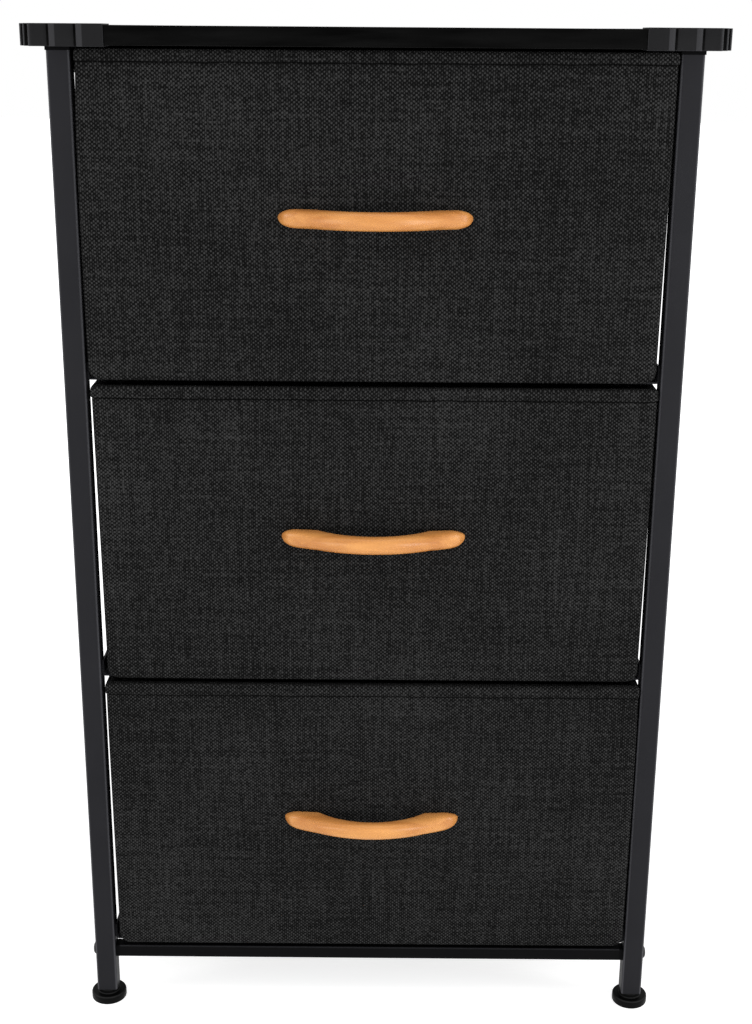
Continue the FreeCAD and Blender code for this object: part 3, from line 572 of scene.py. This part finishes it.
PAN_PROFILE = ((1, 0), (1, 0.45), (0.94, 0.75), (0.8, 0.95), (0.7, 1))
SCREW_SHANK = 4 * MM
TOP_SCREW_HEAD = 8 * MM
low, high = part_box("top_screws")
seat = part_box("top_rail_left")[0].z
half = TOP_SCREW_HEAD / 2
places = [(Vector((x, y, seat)), (0, 0, -1)) for x in (low.x + half, high.x - half)
          for y in (low.y + half, high.y - half)]
pattern = pan_screw("top_screw_pattern", TOP_SCREW_HEAD, seat - low.z, SCREW_SHANK, high.z - seat,
                    zinc_plate)
top_screws = fittings("top_fixing_screws", places, pattern, zinc_plate, seed=5)
drop(pattern)
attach(top_screws, "frame")
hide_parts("top_screws")

# Drawer covers: three open boxes of stiff boards wrapped in one dark linen-look polyester cloth.
# A plain weave of black warp and grey weft with slubs, folded in over the rim and sewn down
# with one row of stitching round the top. The pull's screws hold it at the front.


def linen_cloth():
    """Two-tone plain weave laid out on the cloth's own map, in metres."""
    warp_pitch, weft_pitch = 1.48 * MM, 1.25 * MM
    yarn_stray, weave_depth = 1.3 * MM, 0.25 * MM
    slub_length, yarn_apart = 0.02, 7.31
    chance_weight, fibre_weight, rib_weight, slub_weight, cloud_weight = 0.8, 1.7, -0.3, 1.2, 0.9
    lowest, highest = -0.7, 1.1
    material, tree, shader = new_finish("drawer_linen", seen(30, 30, 30), 0.9, 0.02)
    flat = add_node(tree, "ShaderNodeUVMap", uv_map="cloth").outputs["UV"]

    def uneven(scale, detail, place=flat):
        """Noise over the cloth's own map, at so many patches a metre."""
        return add_node(tree, "ShaderNodeTexNoise",
                        {"Vector": place, "Scale": scale, "Detail": detail}).outputs

    stray = add_node(tree, "ShaderNodeVectorMath",
                     {0: uneven(130.0, 3.0)["Color"], 1: (0.5, 0.5, 0.5)}, operation="SUBTRACT")
    stray = add_node(tree, "ShaderNodeVectorMath", {0: stray.outputs[0], "Scale": yarn_stray},
                     operation="SCALE")
    laid = add_node(tree, "ShaderNodeVectorMath", {0: flat, 1: stray.outputs[0]})
    across = add_node(tree, "ShaderNodeSeparateXYZ", {0: laid.outputs[0]})
    warp = calc(tree, "DIVIDE", across.outputs["X"], warp_pitch)
    weft = calc(tree, "DIVIDE", across.outputs["Y"], weft_pitch)
    waves = [calc(tree, "SINE", calc(tree, "MULTIPLY", count, math.pi)) for count in (warp, weft)]
    over = calc(tree, "MULTIPLY", *waves)
    patch = add_node(tree, "ShaderNodeMapRange",
                     {"Value": uneven(60.0, 2.0)["Fac"], "From Min": 0.34, "From Max": 0.62,
                      "To Min": 0.75, "To Max": 1.0}).outputs["Result"]
    cloud = uneven(6.0, 1.0)["Fac"]

    def slubs(along, crossways):
        """Thick and thin stretches along each yarn, different from yarn to yarn."""
        yarn = calc(tree, "MULTIPLY", calc(tree, "FLOOR", crossways), yarn_apart)
        place = add_node(tree, "ShaderNodeCombineXYZ",
                         {"X": calc(tree, "MULTIPLY", along, slub_length), "Y": yarn})
        return uneven(1.0, 2.0, place.outputs[0])["Fac"]

    crossing = add_node(tree, "ShaderNodeCombineXYZ",
                        {"X": calc(tree, "FLOOR", warp), "Y": calc(tree, "FLOOR", weft)})
    chance = add_node(tree, "ShaderNodeTexWhiteNoise", {"Vector": crossing.outputs[0]},
                      noise_dimensions="2D").outputs["Value"]
    fibre = uneven(680.0, 1.0)["Fac"]
    rib = calc(tree, "COSINE", calc(tree, "MULTIPLY", warp, 2 * math.pi))
    drift = calc(tree, "SUBTRACT", slubs(warp, weft), slubs(weft, warp))
    lift = calc(tree, "MULTIPLY", over, patch)
    for shift, weight in ((calc(tree, "SUBTRACT", chance, 0.5), chance_weight),
                          (calc(tree, "SUBTRACT", fibre, 0.5), fibre_weight),
                          (rib, rib_weight), (drift, slub_weight),
                          (calc(tree, "SUBTRACT", cloud, 0.5), cloud_weight)):
        lift = calc(tree, "MULTIPLY_ADD", shift, weight, lift)
    shown = add_node(tree, "ShaderNodeMapRange",
                     {"Value": lift, "From Min": lowest, "From Max": highest},
                     interpolation_type="SMOOTHSTEP")
    ramp = shades(tree, shader, shown.outputs["Result"], seen(15, 15, 15), seen(62, 62, 62))
    ramp.color_ramp.elements.new(0.5).color = (*seen(34, 34, 34), 1)
    # A near black line is painted along the hem's seam: a painted shadow under the hem's edge.
    painted_seam_shadow = add_node(tree, "ShaderNodeAttribute", attribute_name="seam").outputs["Fac"]
    over_paint(tree, shader, painted_seam_shadow, seen(5, 5, 5))
    relief(tree, shader, calc(tree, "ABSOLUTE", over), weave_depth, 0.5)
    return material


def tub_ring(half_width, front, back, corner, height, shift):
    """A level ring round a drawer, from its front left corner on, with rounded upright edges."""
    across, along, round_steps = 90, 44, 5
    ring = []
    spans = (((-1, 0), (1, 0), across), ((1, 0), (1, 1), along),
             ((1, 1), (-1, 1), across), ((-1, 1), (-1, 0), along))
    start_angle = -90
    for start, stop, steps in spans:
        start, stop = [Vector((x * half_width, back if y else front, 0)) for x, y in (start, stop)]
        run = (stop - start).normalized() * corner
        first, last = start + run, stop - run
        ring += [first.lerp(last, step / steps) for step in range(steps + 1)]
        pivot = last + Vector((-run.y, run.x, 0))
        for step in range(1, round_steps):
            angle = math.radians(start_angle + 90 * step / round_steps)
            ring.append(pivot + corner * Vector((math.cos(angle), math.sin(angle), 0)))
        start_angle += 90
    return [Vector((point.x + shift, point.y, height)) for point in ring]


def fallen(radius, height):
    """How far a rounded bottom edge draws in at a height above the underside."""
    if height >= radius:
        return 0.0
    return radius - math.sqrt(radius ** 2 - (radius - height) ** 2)


def map_panels(piece, name):
    """Lay a map in metres over a boxy cloth: each face takes the two axes that it lies along."""
    layer = piece.data.uv_layers.new(name=name)
    axes = {0: (1, 2), 1: (0, 2), 2: (0, 1)}
    for face in piece.data.polygons:
        normal = [abs(value) for value in face.normal]
        u, v = axes[normal.index(max(normal))]
        for corner in face.loop_indices:
            point = piece.data.vertices[piece.data.loops[corner].vertex_index].co
            layer.data[corner].uv = (point[u], point[v])


def thicken(piece, thickness):
    """Give a cloth its thickness behind its face."""
    modifier = piece.modifiers.new("cloth", "SOLIDIFY")
    modifier.thickness = thickness
    modifier.offset = -1
    modifier.use_even_offset = True
    made_plain(piece)


DRAWER_CORNER = 8 * MM
DRAWER_TAPER = 1.9 * MM
FRONT_ROUNDING = 3 * MM
UPRIGHT_ROUNDING = 3.2 * MM
CLOTH_THICKNESS = 0.7 * MM
HEM_DROP = 8 * MM
HEM_SWELL = 0.7 * MM
HEM_GROOVE = 0.3 * MM
SEAM_SHADE = 0.9 * MM
HEM_WANDER = 0.5 * MM
RIM_SIDES = 5.1 * MM
RIM_FRONT = 6.6 * MM
TURN_IN = 14 * MM
RIM_ROLL = 0.8 * MM
RIM_EASE = 0.5 * MM
RIM_CORNER = 1.5 * MM
WAVINESS = 0.45 * MM
WAVES = Vector((14, 9, 14))
RIPPLES = 70
SAME_FACE = 0.2 * MM
CALM_FOOT, CALM_RIM, CALM_EDGE, HEM_REACH = 20 * MM, 6 * MM, 25 * MM, 4 * MM
CLOTH_CREASE = 50
SIDE_SLACK = {"lower": (0.6 * MM, 1.4 * MM), "middle": (0, 0), "upper": (2.9 * MM, 0)}
linen = linen_cloth()
covers = []


def cover_levels(tall):
    """Heights up the outside of a cover, each with how far its face stands out there."""
    seam = tall - HEM_DROP
    rows = [(share * DRAWER_CORNER, 0) for share in (0, 0.02, 0.08, 0.18, 0.32, 0.5, 0.72, 1)]
    first, last, steps = DRAWER_CORNER, seam - 1.5 * MM, 44
    rows += [(first + (last - first) * step / steps, 0) for step in range(1, steps + 1)]
    rows += [(seam - 0.8 * MM, -0.4 * HEM_GROOVE), (seam - 0.4 * MM, -HEM_GROOVE),
             (seam + 0.2 * MM, -HEM_GROOVE), (seam + 0.4 * MM, 0.7 * HEM_SWELL),
             (seam + 1.0 * MM, HEM_SWELL), (tall - 3 * MM, 0.8 * HEM_SWELL),
             (tall - 1.4 * MM, 0.5 * HEM_SWELL), (tall - 0.6 * MM, -0.2 * MM),
             (tall - 0.15 * MM, -0.9 * MM), (tall, -1.8 * MM)]
    return rows


def cover_ring(box, height, proud, seed, slack):
    """One level of a cover's outside, with the cloth's slight unevenness.

    Slack is how far the cloth stands off its boards at the front of the left and right sides.
    """
    low, high = box
    tall = high.z - low.z
    middle, half_top = (low.x + high.x) / 2, (high.x - low.x) / 2
    half = half_top - DRAWER_TAPER * (1 - height / tall) - fallen(DRAWER_CORNER, height) + proud
    tuck = fallen(FRONT_ROUNDING, height)
    ring = tub_ring(half, low.y + tuck - proud, high.y - tuck + proud, UPRIGHT_ROUNDING,
                    low.z + height, middle)
    inner = min(1, height / CALM_FOOT, max(0, tall - height) / CALM_RIM)
    near_hem = max(0, 1 - abs(tall - HEM_DROP - height) / HEM_REACH)
    below_hem = max(0, 1 - (height / (tall - HEM_DROP)) ** 4)
    for point in ring:
        off_middle = (point.x - middle) / half
        off_front = min(1, max(0, (point.y - low.y) / (high.y - low.y)))
        wave = noise.noise(WAVES * point + Vector((seed, 0, 0)))
        ripple = noise.noise(Vector((RIPPLES * point.x, RIPPLES * point.y, seed)))
        point.z += near_hem * HEM_WANDER * (ripple + 0.6 * wave)
        if abs(point.y - (low.y - proud)) < tuck + SAME_FACE:
            edge = min(1, (half - abs(point.x - middle)) / CALM_EDGE)
            point.y -= WAVINESS * max(0, edge) * inner * (0.4 + 0.8 * wave)
        elif abs(abs(point.x - middle) - half) < SAME_FACE:
            bow = math.copysign(math.sin(math.pi * off_front), off_middle)
            point.x += WAVINESS * inner * bow * (0.9 + 0.7 * wave)
        # slack cloth stands off most at the front corners, and is held again at the hem
        loose = slack[0] if off_middle < 0 else slack[1]
        point.x += loose * below_hem * (1 - off_front) * off_middle ** 7
    return ring


for seed, level in enumerate(LEVELS, start=1):
    drawer = f"{level}_drawer"
    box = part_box(f"{drawer}_cover")
    low, high = box
    tall, half, middle = high.z - low.z, (high.x - low.x) / 2, (low.x + high.x) / 2
    rows = cover_levels(tall)
    rings = [cover_ring(box, height, proud, 10 * seed, SIDE_SLACK[level])
             for height, proud in rows]
    # Rings at the seam carry the painted shadow, fading out within a short reach above and below.
    seam_shadows = [max(0, 1 - abs(height - tall + HEM_DROP) / SEAM_SHADE) for height, proud in rows]
    for sunk, ease in ((0, RIM_EASE), (RIM_ROLL, 0), (0.5 * TURN_IN, 0), (TURN_IN, 0)):
        rings.append(tub_ring(half - RIM_SIDES + ease, low.y + RIM_FRONT - ease,
                              high.y - RIM_SIDES + ease, RIM_CORNER, high.z - sunk, middle))
    seam_shadows += [0] * (len(rings) - len(seam_shadows))
    cover = loft(f"{drawer}_linen", rings, linen, close_end=False, seam_shadows=seam_shadows)
    if cover.data.polygons[0].normal.z > 0:
        cover.data.flip_normals()
    map_panels(cover, "cloth")
    thicken(cover, CLOTH_THICKNESS)
    smooth(cover, CLOTH_CREASE)
    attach(cover, drawer)
    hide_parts(f"{drawer}_cover")
    covers.append(cover)

# Hem stitching: one row of lockstitch round each cover, a hem's width below the rim.
# Black polyester thread, sunk a little into the cloth, with the odd stitch leaning.


def stitch_tree():
    """Lays stitches along a line of edges, one to each pitch, each leaning a little at random."""
    settings = {"Pitch": "Float", "Length": "Float", "Thread width": "Float", "Lean": "Float",
                "Seed": "Int", "Thread": "Material"}
    made, names = empty_tree("hem_stitches", "Seam", settings, "Stitches")
    given = add_node(made, "NodeGroupInput").outputs
    line = add_node(made, "GeometryNodeMeshToCurve", {"Mesh": given["Seam"]})
    spots = add_node(made, "GeometryNodeCurveToPoints",
                     {"Curve": line.outputs[0], "Length": given["Pitch"]}, mode="LENGTH")
    along = add_node(made, "FunctionNodeAlignRotationToVector",
                     {"Vector": spots.outputs["Tangent"]}, axis="X")
    back = calc(made, "MULTIPLY", given["Lean"], -1.0)
    lean = add_node(made, "FunctionNodeRandomValue",
                    {2: back, 3: given["Lean"], "Seed": given["Seed"]}, data_type="FLOAT")
    tilt = add_node(made, "FunctionNodeAxisAngleToRotation",
                    {"Axis": (0, 1, 0), "Angle": lean.outputs[1]})
    turn = add_node(made, "FunctionNodeRotateRotation",
                    {"Rotation": along.outputs[0], "Rotate By": tilt.outputs[0]},
                    rotation_space="LOCAL")
    size = add_node(made, "ShaderNodeCombineXYZ",
                    {"X": given["Length"], "Y": given["Thread width"], "Z": given["Thread width"]})
    thread = add_node(made, "GeometryNodeMeshUVSphere", {"Segments": 6, "Rings": 5, "Radius": 0.5})
    placed = add_node(made, "GeometryNodeInstanceOnPoints",
                      {"Points": spots.outputs["Points"], "Instance": thread.outputs["Mesh"],
                       "Rotation": turn.outputs[0], "Scale": size.outputs[0]})
    whole = add_node(made, "GeometryNodeRealizeInstances", {"Geometry": placed.outputs[0]})
    spun = add_node(made, "GeometryNodeSetMaterial",
                    {"Geometry": whole.outputs[0], "Material": given["Thread"]})
    add_node(made, "NodeGroupOutput", {0: spun.outputs[0]})
    return made, names


STITCH_PITCH = 3.2 * MM
STITCH_LENGTH = 2.9 * MM
THREAD_WIDTH = 0.8 * MM
STITCH_LEAN = math.radians(4)
BELOW_HEM = 0.1 * MM
STITCH_CREASE = 60

thread, tree, shader = new_finish("hem_thread", seen(8, 8, 8), 0.8, 0.02)
shades(tree, shader, speckle(tree, 900), seen(4, 4, 4), seen(14, 14, 14))
stitch_group, stitch_inputs = stitch_tree()
for seed, (level, cover) in enumerate(zip(LEVELS, covers), start=1):
    drawer = f"{level}_drawer"
    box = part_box(f"{drawer}_cover")
    wide, deep, tall = box[1] - box[0]
    seam = cover_ring(box, tall - HEM_DROP - BELOW_HEM, -HEM_GROOVE, 10 * seed,
                      SIDE_SLACK[level])
    count = len(seam)
    mesh = bpy.data.meshes.new(f"{drawer}_hem_stitches")
    mesh.from_pydata(seam, [(here, (here + 1) % count) for here in range(count)], [])
    settings = {"Pitch": STITCH_PITCH, "Length": STITCH_LENGTH, "Thread width": THREAD_WIDTH,
                "Lean": STITCH_LEAN, "Seed": seed, "Thread": thread}
    stitches = grown(f"{drawer}_hem_stitches", mesh, stitch_group, stitch_inputs, settings,
                     STITCH_CREASE)
    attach(stitches, drawer)

# Drawer inside: grey pressed boards stiffen the cover, and a thin non-woven lining hides them.
# A loose base board wrapped in the same non-woven stuff lies on the lining's floor.


def nonwoven_cloth():
    """Spunbonded felt: matted fibres, pressed in a fine diamond pattern."""
    diamonds, press = 2400.0, 0.22
    material, tree, shader = new_finish("drawer_nonwoven", seen(60, 60, 62), 0.9, 0.15)
    place = add_node(tree, "ShaderNodeTexCoord").outputs["Object"]
    axes = add_node(tree, "ShaderNodeSeparateXYZ", {0: place})
    level = calc(tree, "ADD", axes.outputs["X"], axes.outputs["Y"])
    waves = []
    for sign in ("ADD", "SUBTRACT"):
        diagonal = calc(tree, "MULTIPLY", calc(tree, sign, level, axes.outputs["Z"]), diamonds)
        waves.append(calc(tree, "SINE", diagonal))
    pressed = calc(tree, "MULTIPLY", *waves)
    fibres = speckle(tree, 900, detail=6.0)
    share = calc(tree, "MULTIPLY_ADD", pressed, press, fibres)
    shades(tree, shader, share, seen(38, 38, 40), seen(72, 72, 74))
    relief(tree, shader, share, 0.12 * MM, 0.6)
    return material


LINING_SIDE = 4.3 * MM
LINING_FRONT = 5.8 * MM
LINING_FLOOR = 1.7 * MM
LINING_CORNER = 3.7 * MM
LINING_UPRIGHT = 1.2 * MM
LINING_BELOW_RIM = 1.2 * MM
LINING_PLY = 0.5 * MM
LINING_ROWS = 12
nonwoven = nonwoven_cloth()
greyboard, tree, shader = new_finish("greyboard", seen(120, 116, 108), 0.85, 0.2)
shades(tree, shader, speckle(tree, 500, detail=6.0), seen(100, 97, 90), seen(136, 132, 124))
relief(tree, shader, speckle(tree, 1200), 0.05 * MM, 0.4)
for level in LEVELS:
    drawer = f"{level}_drawer"
    low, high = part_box(f"{drawer}_cover")
    tall, middle = high.z - low.z, (low.x + high.x) / 2
    top, bent = tall - LINING_BELOW_RIM, LINING_FLOOR + LINING_CORNER
    heights = [LINING_FLOOR + LINING_CORNER * share for share in (0, 0.03, 0.12, 0.3, 0.6, 1)]
    heights += [bent + (top - bent) * row / LINING_ROWS for row in range(1, LINING_ROWS + 1)]
    rings = []
    for height in heights:
        half = (high.x - low.x) / 2 - DRAWER_TAPER * (1 - height / tall) - LINING_SIDE
        half -= fallen(LINING_CORNER, height - LINING_FLOOR)
        rings.append(tub_ring(half, low.y + LINING_FRONT, high.y - LINING_SIDE, LINING_UPRIGHT,
                              low.z + height, middle))
    lining = loft(f"{drawer}_inner_lining", rings, nonwoven, close_end=False)
    floor_face = max(lining.data.polygons, key=lambda face: face.area)
    if floor_face.normal.z < 0:
        lining.data.flip_normals()
    thicken(lining, LINING_PLY)
    smooth(lining, CLOTH_CREASE)
    wide, deep = 2 * half, high.y - low.y - LINING_FRONT - LINING_SIDE
    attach(lining, drawer)
    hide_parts(f"{drawer}_lining")
    dress(nonwoven, f"{drawer}_base_board")
    dress(greyboard, f"{drawer}_front_board", f"{drawer}_back_board", f"{drawer}_side_boards")

# Pulls: arched wooden grips, one to a drawer, each held from inside by two pan head screws.
# Beech, sawn to two arcs, rounded all over and flat where it meets the cloth, with clear lacquer.


def beech_wood():
    """Warm, close-grained wood with fine pores along the grip and a thin lacquer."""
    material, tree, shader = new_finish("pull_beech", seen(210, 142, 78), 0.34, 0.28)
    shader.inputs["Coat Weight"].default_value = 0.22
    shader.inputs["Coat Roughness"].default_value = 0.26
    rings = speckle(tree, 26, stretch=(0.6, 5, 5), detail=2.0)
    pores = speckle(tree, 220, stretch=(0.12, 3, 3), detail=1.0)
    dotted = calc(tree, "SUBTRACT", pores, 0.5)
    share = calc(tree, "MULTIPLY_ADD", dotted, 0.06, rings)
    ramp = shades(tree, shader, share, seen(197, 125, 62), seen(233, 163, 91))
    ramp.color_ramp.elements[0].position = 0.28
    ramp.color_ramp.elements[1].position = 0.72
    gloss_between(tree, shader, rings, 0.28, 0.4)
    relief(tree, shader, pores, 0.01 * MM, 0.08)
    return material


PULL_NOSE = 6 * MM
PULL_END = 12 * MM
PULL_TIP = 5.5 * MM
PULL_PAD = 24.5 * MM
PULL_THICKNESS = 10 * MM
PULL_SQUARENESS = 2.5
PULL_STATIONS = 110
PULL_STEPS = 40
PULL_CREASE = 45
PULL_LEAST = 0.2 * MM
PULL_SHORT = 0.9995
PULL_SCREW_HEAD = 8.5 * MM
PULL_SCREW_TALL = 2.4 * MM
beech = beech_wood()


def sagged(half_span, sag, x):
    """How far an arc of a given half span and sag has fallen at a distance from its middle."""
    radius = (half_span ** 2 + sag ** 2) / (2 * sag)
    return radius - math.sqrt(max(0, radius ** 2 - x ** 2))


def pull_ring(x, half_length, reach, half_height):
    """One cross section of a pull, at a distance from its middle: rounded, flat at the pads."""
    beyond = abs(x) - (half_length - PULL_NOSE)
    front = -reach + sagged(half_length, reach - PULL_TIP, x)
    if beyond > 0:
        front += PULL_NOSE - math.sqrt(PULL_NOSE ** 2 - beyond ** 2)
    arch = reach - PULL_THICKNESS
    back = min(0, -arch + sagged(half_length - PULL_PAD, arch, x))
    beyond = abs(x) - (half_length - PULL_END)
    height = half_height
    if beyond > 0:
        height *= math.sqrt(1 - (beyond / PULL_END) ** 2)
    front = min(front, back - PULL_LEAST)
    half_depth, centre = (back - front) / 2, (back + front) / 2
    ring = []
    for step in range(PULL_STEPS):
        angle = 2 * math.pi * step / PULL_STEPS
        wide, tall = math.cos(angle), math.sin(angle)
        y = math.copysign(abs(wide) ** (2 / PULL_SQUARENESS), wide)
        z = math.copysign(abs(tall) ** (2 / PULL_SQUARENESS), tall)
        ring.append(Vector((x, centre + half_depth * y, height * z)))
    return ring


for seed, level in enumerate(LEVELS, start=11):
    drawer = f"{level}_drawer"
    low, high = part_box(f"{drawer}_handle")
    half_length, reach = (high.x - low.x) / 2, high.y - low.y
    seat = Vector(((low.x + high.x) / 2, high.y, (low.z + high.z) / 2))
    rings = []
    for station in range(PULL_STATIONS + 1):
        share = math.sin(math.pi / 2 * (2 * station / PULL_STATIONS - 1))
        ring = pull_ring(PULL_SHORT * half_length * share, half_length, reach,
                         (high.z - low.z) / 2)
        rings.append([seat + point for point in ring])
    pull = loft(f"{drawer}_pull", rings, beech)
    smooth(pull, PULL_CREASE)
    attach(pull, drawer)
    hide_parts(f"{drawer}_handle")

    low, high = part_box(f"{drawer}_handle_screws")
    half, seat_y = PULL_SCREW_HEAD / 2, high.y - PULL_SCREW_TALL
    places = [(Vector((x, seat_y, (low.z + high.z) / 2)), (0, 1, 0))
              for x in (low.x + half, high.x - half)]
    pattern = pan_screw("pull_screw_pattern", PULL_SCREW_HEAD, high.y - seat_y, SCREW_SHANK,
                        seat_y - low.y, zinc_plate)
    screws = fittings(f"{drawer}_pull_screws", places, pattern, zinc_plate, seed)
    drop(pattern)
    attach(screws, drawer)
    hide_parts(f"{drawer}_handle_screws")

# Stage: a plain white floor that runs to the horizon, under soft studio light.
# Two large soft lamps stand in front, two strips at the sides light the caps, and one hangs above,
# with an even white room around them.
FLOOR_HALF = 12.0
FLOOR_GLOW = 0.72
SHADOW_REACH = (0.5, 1.3)
ROOM_LIGHT = 0.64


def looked_at(tree):
    """1 where a surface is looked at, straight or in a reflection, 0 where it only gives light."""
    ray = add_node(tree, "ShaderNodeLightPath").outputs
    return calc(tree, "MAXIMUM", ray["Is Camera Ray"],
                calc(tree, "MAXIMUM", ray["Is Glossy Ray"], ray["Is Transmission Ray"]))


floor_white, tree, shader = new_finish("floor_white", seen(236, 236, 236), 0.9, 0.1)
shader.inputs["Emission Color"].default_value = (1, 1, 1, 1)
place = add_node(tree, "ShaderNodeTexCoord").outputs["Object"]
away = add_node(tree, "ShaderNodeVectorMath", {0: place}, operation="LENGTH").outputs["Value"]
far = add_node(tree, "ShaderNodeMapRange",
               {"Value": away, "From Min": SHADOW_REACH[0], "From Max": SHADOW_REACH[1],
                "To Min": FLOOR_GLOW, "To Max": 1.0}).outputs["Result"]
glow = calc(tree, "MULTIPLY", looked_at(tree), far)
tree.links.new(glow, shader.inputs["Emission Strength"])
mesh = bpy.data.meshes.new("floor")
corners = ((-1, -1), (1, -1), (1, 1), (-1, 1))
mesh.from_pydata([(FLOOR_HALF * x, FLOOR_HALF * y, 0) for x, y in corners], [], [(0, 1, 2, 3)])
mesh.materials.append(floor_white)
floor = put_in("floor", mesh)


def soft_lamp(name, place, target, wide, tall, watts):
    """A lamp behind an oval diffuser, set at a place and aimed at a target."""
    lamp = bpy.data.lights.new(name, "AREA")
    lamp.shape = "ELLIPSE"
    lamp.size = wide
    lamp.size_y = tall
    lamp.energy = watts
    holder = put_in(name, lamp)
    aim = (Vector(target) - Vector(place)).to_track_quat("-Z", "Y")
    holder.matrix_world = Matrix.Translation(place) @ aim.to_matrix().to_4x4()


LIT_POINT = (0, 0, 0.38)
CAPS_LEFT, CAPS_RIGHT = (-0.2, -0.14, 0.6), (0.2, -0.14, 0.5)
soft_lamp("lamp_left", (-1.15, -2.05, 0.4), LIT_POINT, 0.7, 1.0, 6.8)
soft_lamp("lamp_right", (1.15, -2.05, 0.4), LIT_POINT, 0.7, 1.0, 12.5)
soft_lamp("strip_left", (-1.5, -0.5, 0.95), CAPS_LEFT, 0.3, 0.6, 4)
soft_lamp("strip_right", (1.5, -0.5, 0.8), CAPS_RIGHT, 0.3, 1.2, 6)
soft_lamp("lamp_above", (0, -0.5, 2.4), LIT_POINT, 1.4, 1.4, 4)

world = bpy.data.worlds.new("studio")
world.use_nodes = True
tree = world.node_tree
room = tree.nodes["Background"]
room.inputs["Color"].default_value = (1, 1, 1, 1)
strength = add_node(tree, "ShaderNodeMapRange",
                    {"Value": looked_at(tree), "To Min": ROOM_LIGHT, "To Max": 1.0})
tree.links.new(strength.outputs["Result"], room.inputs["Strength"])
bpy.context.scene.world = world
bpy.context.scene.view_settings.view_transform = "Standard"

# Camera: where the photograph was taken from, a little below the top and looking down.
# Its place, its turn and its lens were fitted to the dresser's outlines in the photograph.
IMAGE_TALL = 1024
FOCAL_PIXELS = 1519.7
SENSOR = 36
CAMERA_PLACE = Vector((0.0041, -1.1229, 0.7069))
YAW, PITCH, ROLL = -0.0016, 0.3057, -0.0074
ahead = Vector((math.sin(YAW) * math.cos(PITCH), math.cos(YAW) * math.cos(PITCH),
                -math.sin(PITCH)))
right = Vector((math.cos(YAW), -math.sin(YAW), 0))
down = ahead.cross(right)
tilted_right = math.cos(ROLL) * right + math.sin(ROLL) * down
tilted_down = math.cos(ROLL) * down - math.sin(ROLL) * right
camera = put_in("camera", bpy.data.cameras.new("camera"))
camera.data.sensor_width = SENSOR
camera.data.lens = FOCAL_PIXELS * SENSOR / IMAGE_TALL
camera.data.clip_start = 0.01
turn = Matrix((tilted_right, -tilted_down, -ahead)).transposed().to_4x4()
camera.matrix_world = Matrix.Translation(CAMERA_PLACE) @ turn
bpy.context.scene.camera = camera
